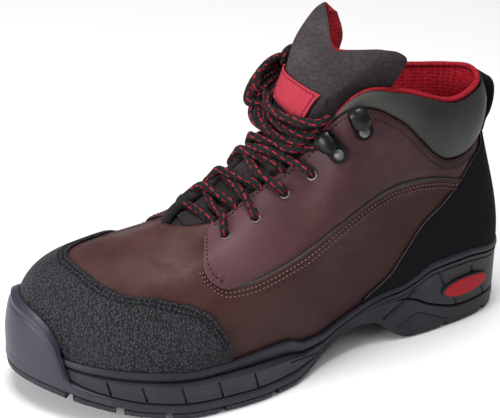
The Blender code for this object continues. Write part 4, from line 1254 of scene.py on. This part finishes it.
pinkLines, darkLines, pinLines = [], [], []
for name, sign in bootSides:
    u = np.linspace(*sewing["pink"])
    closer = 1 - 0.42 * smooth((u - 5.7) / 0.4)
    for distance, out in sewing["pinkRows"]:
        across, v = beside(u, edgeAt(quarterLowEdge, u) + lap["over"], distance * closer, sign)
        rise = (out - sewing["pinkSink"]) * lapFade(np.clip(across, 1.8, lap["span"][1]))
        pinkLines.append(seamLine(sign * across, v, sewing["pinkSink"] + rise))
    u = np.linspace(*sewing["facing"][name])
    darkLines.append(seamLine(sign * u, np.full(len(u), sewing["facingHeight"]), quarterOut - 0.1))
    u = np.linspace(*sewing["front"][name])
    v = below(quarterLowEdge, u, -sewing["frontRow"], sign)
    darkLines.append(seamLine(sign * u, v, quarterOut - 0.1))
    u = np.linspace(*sewing["pins"])
    for distance in sewing["pinRows"]:
        pinLines.append(seamLine(sign * u, below(quarterTopEdge, u, distance, sign), quarterOut - 0.2))
u = np.linspace(*sewing["cap"])
capLines = [seamLine(u, below(toeCapEdge, u, distance), 1.75) for distance in sewing["capRows"]]
stitches("seamStitchesPink", pinkLines, sewing["pinkSize"], pinkThread, "brown_leather")
# dark marks between the pink stitches: painted shade in the needle holes
stitches("seamHoleShade", pinkLines, sewing["holeSize"], darkThread, "brown_leather", start=1.0)
stitches("seamStitchesDark", darkLines, sewing["darkSize"], darkThread, "burgundy_leather")
# the pinholes are dark marks of painted shade in the holes
stitches("quarterPinholes", pinLines, sewing["pinSize"], holeShade, "burgundy_leather")
stitches("capStitches", capLines, sewing["capSize"], capThread, "grained_cap")
print("stitches ready")

# bare label on the tongue, with a sewn border
label = {
    "low": ((11.9, 3.6), (11.65, 6.85)), "high": ((13.3, 2.9), (13.1, 6.75)), "size": (40, 20), "lift": 2.5,
    "thick": 1.2, "stitch": (2.3, 1.8, 0.7),
    "border": ((0.06, 0.08), (0.94, 0.08), (0.94, 0.92), (0.06, 0.92), (0.06, 0.08)),
}


def labelSpot(s, t):
    ends = [[left + (right - left) * s for left, right in zip(*label[end])] for end in ("low", "high")]
    return [low * (1 - t) + high * t for low, high in zip(*ends)]


def labelPlace(s, t):
    row, column = labelSpot(s, t)
    edge = np.minimum(np.minimum(s, 1 - s) * label["size"][0], np.minimum(t, 1 - t) * label["size"][1])
    relief = 0.5 * roundEdge(edge, 0.8) - 0.25 * trough(edge - 2.3, 0.5)
    return tongueAt(row, column, label["lift"] - 0.5 + relief)


labelPatch = wrapGrid("tongueLabelPatch", 120, 70, labelPlace)
applied(labelPatch, "SOLIDIFY", thickness=label["thick"] * mm, offset=-1)
fitted(labelPatch, labelCloth, "label_red", "tongue_label")
border = []
for start, stop in zip(label["border"], label["border"][1:]):
    row, column = labelSpot(*np.linspace(start, stop, 80).T)
    border.append((tongueAt(row, column, label["lift"] - 0.1), tongueNormal(row, column)))
stitches("labelStitches", border, label["stitch"], redThread, "label_red")

# speed hooks: a strip that bends out and back, with a rivet through its foot
hook = {
    "path": ((0.6, -10), (0.6, 4.5), (2.2, 7.4), (4.6, 7.9), (6.2, 6.2), (6.6, 2.0), (5.6, -2.5)),
    "run": (0.05, 0.02375), "step": 0.2, "lift": 0.7, "width": 9.4, "thick": 1.2, "round": 0.35,
    "ends": (4.4, 4.8), "bend": (11, 6), "bow": 1.5,  # round ends, start of the bend and its bowed face
    "foot": (3.0, 1.7), "rivet": 3.0, "dome": 1.1, "rivetAt": (1.2, -5.6),
}


def hookStrip(foot, out, way, across):
    path = evenPath([foot + out * a + way * b for a, b in hook["path"]], hook["step"])
    walk = hook["step"] * np.arange(len(path))
    lift = unit(np.cross(np.gradient(path, axis=0), across))
    lift *= np.sign(lift[-1] @ out)  # towards the outside of the bend

    def place(s, t):
        k = np.rint(s * (len(path) - 1)).astype(int)
        foremost = smooth((walk[k] - hook["bend"][0]) / hook["bend"][1])
        wide = hook["width"] * (1.12 - 0.14 * foremost)
        for distance, width in zip((walk[k], walk[-1] - walk[k]), hook["ends"]):
            wide = wide * (0.12 + 0.88 * roundEdge(distance, width))
        bow = hook["bow"] * foremost * (1 - (2 * t - 1) ** 2)
        return path[k] + ((t - 0.5) * wide)[:, None] * across + bow[:, None] * lift[k]

    strip = wrapGrid("strip", len(path) - 1, 16, place)
    applied(strip, "SOLIDIFY", thickness=hook["thick"] * mm, offset=0)
    applied(strip, "BEVEL", width=hook["round"] * mm, segments=2, limit_method="ANGLE")
    strip.data.materials.append(hookMetal)
    strip.data.materials.append(hookFoot)
    for polygon in strip.data.polygons:  # the foot is duller than the bend
        reach = np.array(polygon.center) / mm + bootCentre - foot
        polygon.material_index = 1 if reach @ way < hook["foot"][0] and reach @ out < hook["foot"][1] else 0
    return outwards(strip)


def hookRivet(foot, out, way, across):
    deselect()
    bpy.ops.mesh.primitive_uv_sphere_add(segments=24, ring_count=12, radius=1)
    rivet = bpy.context.object
    ball = pointsOf(rivet)
    head = foot + out * hook["rivetAt"][0] + way * hook["rivetAt"][1]
    flat = hook["rivet"] * (ball[:, :1] * way + ball[:, 1:2] * across)
    setPoints(rivet, head + flat + hook["dome"] * ball[:, 2:] * out)
    bpy.ops.object.shade_smooth()
    rivet.data.materials.append(rivetMetal)
    return outwards(rivet)


for index, (u, v) in enumerate(hookPlaces):
    for name, sign in bootSides:
        foot = skin(sign * u, v, quarterOut + hook["lift"])
        out = lastNormal(sign * u, v)
        du, dv = hook["run"]
        across = unit(np.cross(lastAt(sign * (u + du), v + dv) - lastAt(sign * (u - du), v - dv), out))
        place = (foot, out, np.cross(out, across), across)
        pieces = [hookStrip(*place), hookRivet(*place)]
        made = joined(f"speedHook{name.title()}{index + 1}", pieces)
        fitted(made, None, "hook_metal", f"hook_{name}_{index + 1}")

# eyelets: pale cut rim around a dark disc of painted shade for the hole
eyelet = {"radius": 2.6, "rims": (0.16, 0.28, 0.34, 0.4), "tilt": 0.12, "sink": 0.2, "flat": 0.12}


def eyeletPiece(shape, u, v, sign):  # lays the new primitive onto the quarter
    spot = skin(sign * u, v, quarterOut)
    out = lastNormal(sign * u, v)
    way = unit(np.cross(out, (0.0, 0.0, 1.0)))
    made = bpy.context.object
    setPoints(made, spot + shape[:, :1] * way + shape[:, 1:2] * np.cross(way, out) + shape[:, 2:] * out)
    bpy.ops.object.shade_smooth()
    return outwards(made)


rims, holes = [], []
for (u, v), thick in zip(eyeletPlaces, eyelet["rims"]):
    for sign in (1, -1):
        deselect()
        bpy.ops.mesh.primitive_torus_add(
            major_radius=eyelet["radius"], minor_radius=thick, major_segments=32, minor_segments=8,
        )
        shape = pointsOf(bpy.context.object)
        shape[:, 2] -= eyelet["sink"] + eyelet["tilt"] * (0.8 * sign * shape[:, 0] + 0.6 * shape[:, 1])
        rims.append(eyeletPiece(shape, u, v, sign))
        deselect()
        # flat dark disc: painted shade inside the eyelet hole
        bpy.ops.mesh.primitive_uv_sphere_add(segments=24, ring_count=10, radius=eyelet["radius"])
        shape = pointsOf(bpy.context.object) * (1, 1, eyelet["flat"])
        holes.append(eyeletPiece(shape, u, v, sign))
fitted(joined("eyeletRims", rims), eyeletPale, "burgundy_leather")
fitted(joined("eyeletHoleShade", holes), holeShade, "burgundy_leather")
print("label, hooks and eyelets ready")

# pull loop
loop = {
    "path": ((10.2, 145.4), (5.0, 143.2), (1.6, 138), (0.9, 130), (2.2, 122.5), (4.9, 116.5), (6.25, 110)),
    "width": 14.0, "thick": 1.6, "round": 0.4, "step": 0.6,
}
loopPath = evenPath([(x, 0.0, z) for x, z in loop["path"]], loop["step"])


def loopPlace(s, t):
    points = loopPath[np.rint(s * (len(loopPath) - 1)).astype(int)]
    points[:, 1] = (t - 0.5) * loop["width"]
    return points


pullLoop = wrapGrid("pullLoopWeb", len(loopPath) - 1, 24, loopPlace)
applied(pullLoop, "SOLIDIFY", thickness=loop["thick"] * mm, offset=0)
applied(pullLoop, "BEVEL", width=loop["round"] * mm, segments=2, limit_method="ANGLE")
fitted(outwards(pullLoop), loopWebbing, "loop_webbing", "pull_loop")

# sole: cup with rand, groove and block band, then the outsole with its lugs
sole = {
    "columns": 900, "treadColumns": 720, "inside": -6.0, "crease": (38, 35),
    "slits": (259, 243, 224, 204, 183), "lean": 15.0, "slit": 1.2, "slitDeep": 5.0, "slitOut": 1.2,
    "slitShort": 1.5,
    "toeLitFrom": 262, "waist": (68, 14, 158, 16),
    "wedge": ((41, 4.5), (65, 16.6), (80, 9.3)), "wedgeLine": (0.8, 0.55),  # moulded wedge low on the heel
    "heelLine": ((67, 32.6), (92, 13), 1.5, 0.75), "waistLine": ((132, 10.5), (160, 16.5), 0.8, 0.5),
    "markLine": (1.3, 0.6),
    "marks": (
        ((52, 40), (46, 29)), ((27, 37), (25, 30.5)),
        ((38.5, 19.5), (35.8, 12.2)), ((16.7, 20), (13.9, 12.5)),
    ),
}
lugs = {
    "depth": 4.5, "gap": 4.6, "lateral": (274.5, 254.5, 231, 203, 171), "medial": (276, 252, 226, 196, 168),
    "middle": (158, 180, 203, 226, 250), "middleWide": 36, "middleShy": 1, "heel": (45, 14), "heelDepth": 2.6,
    "reach": (20, 14), "cutterPast": 8, "cutterTall": 20,
}
forefoot = {"lateral": (2.6, 8.0), "medial": (13.4, 8.0)}  # stations to look for a place along each side
heelSides = ((0.2, 3.0), (15.8, 13.0))


def lineAt(x, z, start, stop, deep, width):  # a straight moulded line between two places on the side
    run = np.array(stop, float) - start
    far = np.hypot(*run)
    share = ((x - start[0]) * run[0] + (z - start[1]) * run[1]) / far ** 2
    away = ((x - start[0]) * run[1] - (z - start[1]) * run[0]) / far
    return deep * trough(away, width) * smooth((share + 0.04) / 0.08) * smooth((1.04 - share) / 0.08)


def heelLines(x, z):
    front, peak, rear = sole["wedge"][::-1]
    rim = lineAt(x, z, front, peak, *sole["wedgeLine"]) + lineAt(x, z, peak, rear, *sole["wedgeLine"])
    return rim + lineAt(x, z, *sole["heelLine"])


def parting(x):  # the joint between cup and outsole closes up through the waist
    start, startFade, stop, stopFade = sole["waist"]
    return 1 - smooth((x - start) / startFade) * smooth((stop - x) / stopFade)


def groovesAt(x, z, top):  # lines moulded into the side of the band
    deep = 0.8 * trough(z - (top - 2.6), 0.45) * smooth((138 - x) / 8) * smooth((x + 4) / 6)
    deep = deep + heelLines(x, z)
    for start, stop in sole["marks"]:
        deep = deep + lineAt(x, z, start, stop, *sole["markLine"])
    return deep + lineAt(x, z, *sole["waistLine"])


def bandEdges(x):  # lower and upper edge of the block band
    return level("part", x) + 1.0, level("groove", x) - 0.6


def ringGrid(name, columns, rings):  # rings around the sole, each with its height and how far it stands out
    def place(s, t):
        u = len(lastRows) * s
        x = catmull(lastRows, u)[..., 0]
        k = np.rint(t * (len(rings) - 1)).astype(int)
        out = np.zeros((len(s), 3))
        for index, ring in enumerate(rings):
            mine = k == index
            out[mine] = sideAt(u[mine], *ring(x[mine]))
        return out

    return capHoles(wrapGrid(name, columns, len(rings) - 1, place, closed=True))


def ring(at, rise, out=None, proud=0.0):  # follows one level of the sole
    return lambda x: (level(at, x) + rise, (level(out, x) if out else np.zeros(len(x))) + proud)


def bandRing(share):
    def place(x):
        low, top = bandEdges(x)
        z = low + (top - low) * share
        return z, level("bandOut", x) + 0.5 * (1 - share) - groovesAt(x, z, top)
    return place


midsole = ringGrid("midsoleCup", sole["columns"], [
    ring("floor", 0.0, proud=sole["inside"]),
    ring("floor", 0.0, proud=footLift),
    ring("rand", -0.3, proud=footLift),
    ring("rand", 0.0, proud=0.8),
    ring("rand", -0.1, "randOut", -0.5),
    ring("rand", -0.7, "randOut", 0.05),
    lambda x: ((level("rand", x) + level("groove", x)) / 2 + 0.4, level("randOut", x) + 0.35),
    ring("groove", 1.7, "randOut", 0.5),
    ring("groove", 1.0, "randOut", 0.1),
    ring("groove", 0.4, "randOut", -1.0),
    lambda x: (level("groove", x) - 0.1, np.minimum(level("randOut", x) - 1.0, level("bandOut", x) - 0.6)),
    *[bandRing(share) for share in np.linspace(1, 0, 44)],
    lambda x: (level("part", x) + 0.6, level("bandOut", x) + 0.4 - parting(x)),
    lambda x: (level("part", x) + 0.1 + 0.2 * parting(x), level("bandOut", x) + 0.3 - 1.9 * parting(x)),
    ring("part", 0.15, proud=sole["inside"]),
])


def block(centre, axes, sizes):
    deselect()
    bpy.ops.mesh.primitive_cube_add(size=1)
    made = bpy.context.object
    corners = pointsOf(made)
    setPoints(made, centre + sum(corners[:, k:k + 1] * sizes[k] * axes[k] for k in range(3)))
    return outwards(made)


def cut(piece, tools, crease):
    tool = joined("tools", tools)
    applied(piece, "BOOLEAN", operation="DIFFERENCE", solver="EXACT", object=tool)
    bpy.data.objects.remove(tool)
    pick(piece)
    bpy.ops.object.shade_smooth_by_angle(angle=math.radians(crease))


def slitBlock(u):
    x = float(catmull(lastRows, u)[0])
    out = outline(u)[1]
    way = np.array((-out[1], out[0], 0.0))
    if way[0] > 0:
        way = -way
    lean = math.radians(sole["lean"])
    down = np.array((0.0, 0.0, -math.cos(lean))) + way * math.sin(lean)
    top, low = level("groove", x), level("part", x)
    centre = sideAt(np.array(u), (top + low) / 2, level("bandOut", x) + sole["slitOut"])
    sizes = (sole["slitDeep"], sole["slit"], top - low - sole["slitShort"])
    return block(centre, (out, np.cross(down, out), down), sizes)


slits = [slitBlock(stationAt(x, *span)) for span in forefoot.values() for x in sole["slits"]]
cut(midsole, slits, sole["crease"][0])
fitted(midsole, soleRubber, "sole_rubber", "midsole")
print("midsole ready:", len(midsole.data.polygons), "faces")


def lugTop(x):
    return np.minimum(lugs["depth"] + 0.5, 0.45 * (level("part", x) - level("ground", x)))


def lugRing(rise, proud, line=0.0):  # the line above the lugs fades out behind the forefoot
    def place(x):
        faded = line * smooth((x - 128) / 20)
        return level("ground", x) + lugTop(x) + rise, level("treadOut", x) + proud - faded
    return place


def lowerRing(share):
    def place(x):
        top = level("part", x) - 1.0
        z = top + (level("ground", x) + lugTop(x) + 0.8 - top) * share
        return z, level("treadOut", x) + 0.35 * share - heelLines(x, z)
    return place


outsole = ringGrid("outsoleTread", sole["treadColumns"], [
    ring("part", -0.15, proud=sole["inside"]),
    lambda x: (level("part", x) - 0.15, level("treadOut", x) + 0.2 - 1.6 * parting(x)),
    lambda x: (level("part", x) - 0.4, level("treadOut", x) + 0.1 - 0.6 * parting(x)),
    *[lowerRing(share) for share in np.linspace(0, 1, 26)],
    lugRing(0.4, 0.2),
    lugRing(0.1, 0.2, 1.0),
    lugRing(-0.3, 0.15, 0.85),
    lugRing(-0.6, 0.1),
    ring("ground", 0.9, "treadOut", -0.2),
    ring("ground", 0.0, "treadOut", -1.2),
    lambda x: (level("ground", x), level("treadOut", x) - level("treadIn", x) + sole["inside"]),
])


def gapBlock(u, depth, reach):
    x = float(catmull(lastRows, u)[0])
    out = outline(u)[1]
    centre = sideAt(np.array(u), level("ground", x), level("treadOut", x))
    centre += out * (lugs["cutterPast"] - reach) / 2
    centre[2] += depth - lugs["cutterTall"] / 2
    axes = (out, np.array((-out[1], out[0], 0.0)), np.array((0.0, 0.0, 1.0)))
    return block(centre, axes, (reach + lugs["cutterPast"], lugs["gap"], lugs["cutterTall"]))


gaps = []
sideReach, heelReach = lugs["reach"]
for name, span in forefoot.items():
    gaps += [gapBlock(stationAt(x, *span), lugs["depth"], sideReach) for x in lugs[name]]
for span in heelSides:
    gaps += [gapBlock(stationAt(x, *span), lugs["heelDepth"], heelReach) for x in lugs["heel"]]
for x in lugs["middle"]:
    high = level("ground", x) + lugs["depth"] - lugs["middleShy"]
    centre = np.array((x, 2.0, high - lugs["cutterTall"] / 2))
    gaps.append(block(centre, np.eye(3), (lugs["gap"], lugs["middleWide"], lugs["cutterTall"])))
cut(outsole, gaps, sole["crease"][1])
fitted(outsole, [soleRubber, treadRubber, toeLitRubber], "sole_rubber", "outsole")
xs = np.array([p.center.x for p in outsole.data.polygons]) / mm + bootCentre[0]
zs = np.array([p.center.z for p in outsole.data.polygons]) / mm
wedgeX, wedgeZ = np.array(sole["wedge"], float).T
inWedge = (xs > wedgeX[0]) & (xs < wedgeX[-1]) & (zs < np.interp(xs, wedgeX, wedgeZ))
lugPart = inWedge | (zs < level("ground", xs) + lugTop(xs) - 0.1)
for polygon, lug, x in zip(outsole.data.polygons, lugPart, xs):
    # the tread's toe takes the lighter copy: painted light on the front faces
    polygon.material_index = 1 if lug else 2 if x > sole["toeLitFrom"] else 0
print("outsole ready:", len(outsole.data.polygons), "faces")

# toe bumper with a rounded bead along its edge
bumper = {
    "columns": 220, "rows": 80, "thick": 0.8, "bead": 0.8, "tuck": 3.0, "wall": (2.2, 3.6),
    "share": (0.0, 0.3, 0.6, 0.86, 1.0), "proud": (0.0, -0.3, -0.8, -1.2, -2.2),
}


def bumperPlace(s, t):
    u = bumperTop[0][0] + (bumperTop[-1][0] - bumperTop[0][0]) * s
    x = catmull(lastRows, u)[..., 0]
    ends = np.minimum(s, 1 - s)
    part = level("part", x)
    low = part - bumper["tuck"]
    high = part + (edgeAt(bumperTop, u) - part) * smooth(ends / 0.07)
    share = spread(t)
    z = low + (high - low) * share
    rim = (1 - share) * (high - low)
    clear = smooth((z - level("rand", x) - 1) / 6)
    upperWall, lowerWall = bumper["wall"]
    thick = upperWall * clear + np.maximum(lowerWall, level("bandOut", x) + 0.9) * (1 - clear)
    proud = level("treadOut", x) + easeThrough(bumper["share"], bumper["proud"], share)
    bead = bumper["bead"] * trough(rim - 2.0, 0.9) * smooth(ends / 0.05)
    body = thick + 0.1 + (proud - thick) * roundEdge(rim, 2.0) + bead - 0.35 * trough(rim - 4.6, 1.1)
    base = level("treadOut", x) - 0.1
    return sideAt(u, z, base + (body - base) * smooth((z - part) / 2.5))


bumperPiece = wrapGrid("toeBumperGuard", bumper["columns"], bumper["rows"], bumperPlace, flip=True)
applied(bumperPiece, "SOLIDIFY", thickness=bumper["thick"] * mm, offset=-1)
fitted(bumperPiece, toeLitRubber, "sole_rubber", "toe_bumper")

# bare oval badge in the heel, with a dark rim
badge = {
    "x": 30.5, "z": 25.0, "long": 17.2, "high": 6.0, "dome": 1.5, "edge": 0.35, "rim": (0.055, 0.115, 0.7),
}


def badgeAt(s, wide, tall, offset):  # on the side of the heel, a share of the oval away from its middle
    angle = 2 * math.pi * s
    x = badge["x"] + badge["long"] * wide * np.cos(angle)
    z = badge["z"] + badge["high"] * tall * np.sin(angle)
    stations = np.linspace(0.5, 2.6, 300)
    u = np.interp(x, catmull(lastRows, stations)[:, 0], stations)
    low, top = bandEdges(x)
    share = ((z - low) / (top - low))[..., None]
    bottom = sideAt(u, low, level("bandOut", x) + 0.5)
    crest = sideAt(u, top, level("bandOut", x))
    return bottom + (crest - bottom) * share + outline(u)[1] * offset[..., None]


def badgePlace(s, t):
    lift = badge["edge"] + (badge["dome"] - badge["edge"]) * roundEdge(t, 0.16)
    return badgeAt(s, 1 - t, 1 - t, lift)


def badgeRimPlace(s, t):
    wide, tall, lift = badge["rim"]
    swing = np.cos(2 * math.pi * t)
    return badgeAt(s, 1 + wide * swing, 1 + tall * swing, 0.5 + lift * np.sin(2 * math.pi * t))


badgePiece = wrapGrid("heelBadgeOval", 96, 24, badgePlace, closed=True)
fitted(outwards(badgePiece), badgeRubber, "badge_red", "heel_badge")
fitted(outwards(wrapGrid("heelBadgeRim", 96, 10, badgeRimPlace, closed=True)), soleRubber, "sole_rubber")

# footbed
# rise over the floor, place from the wall
footbedRings = ((0.4, -2.7), (3.6, -2.8), (4.4, -3.6), (4.4, -9.0))
footbed = ringGrid("footbed", 240, [ring("floor", rise, proud=proud) for rise, proud in footbedRings])
fitted(footbed, footbedFelt, "footbed_cloth", "insole")
print("sole ready")

low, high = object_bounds()
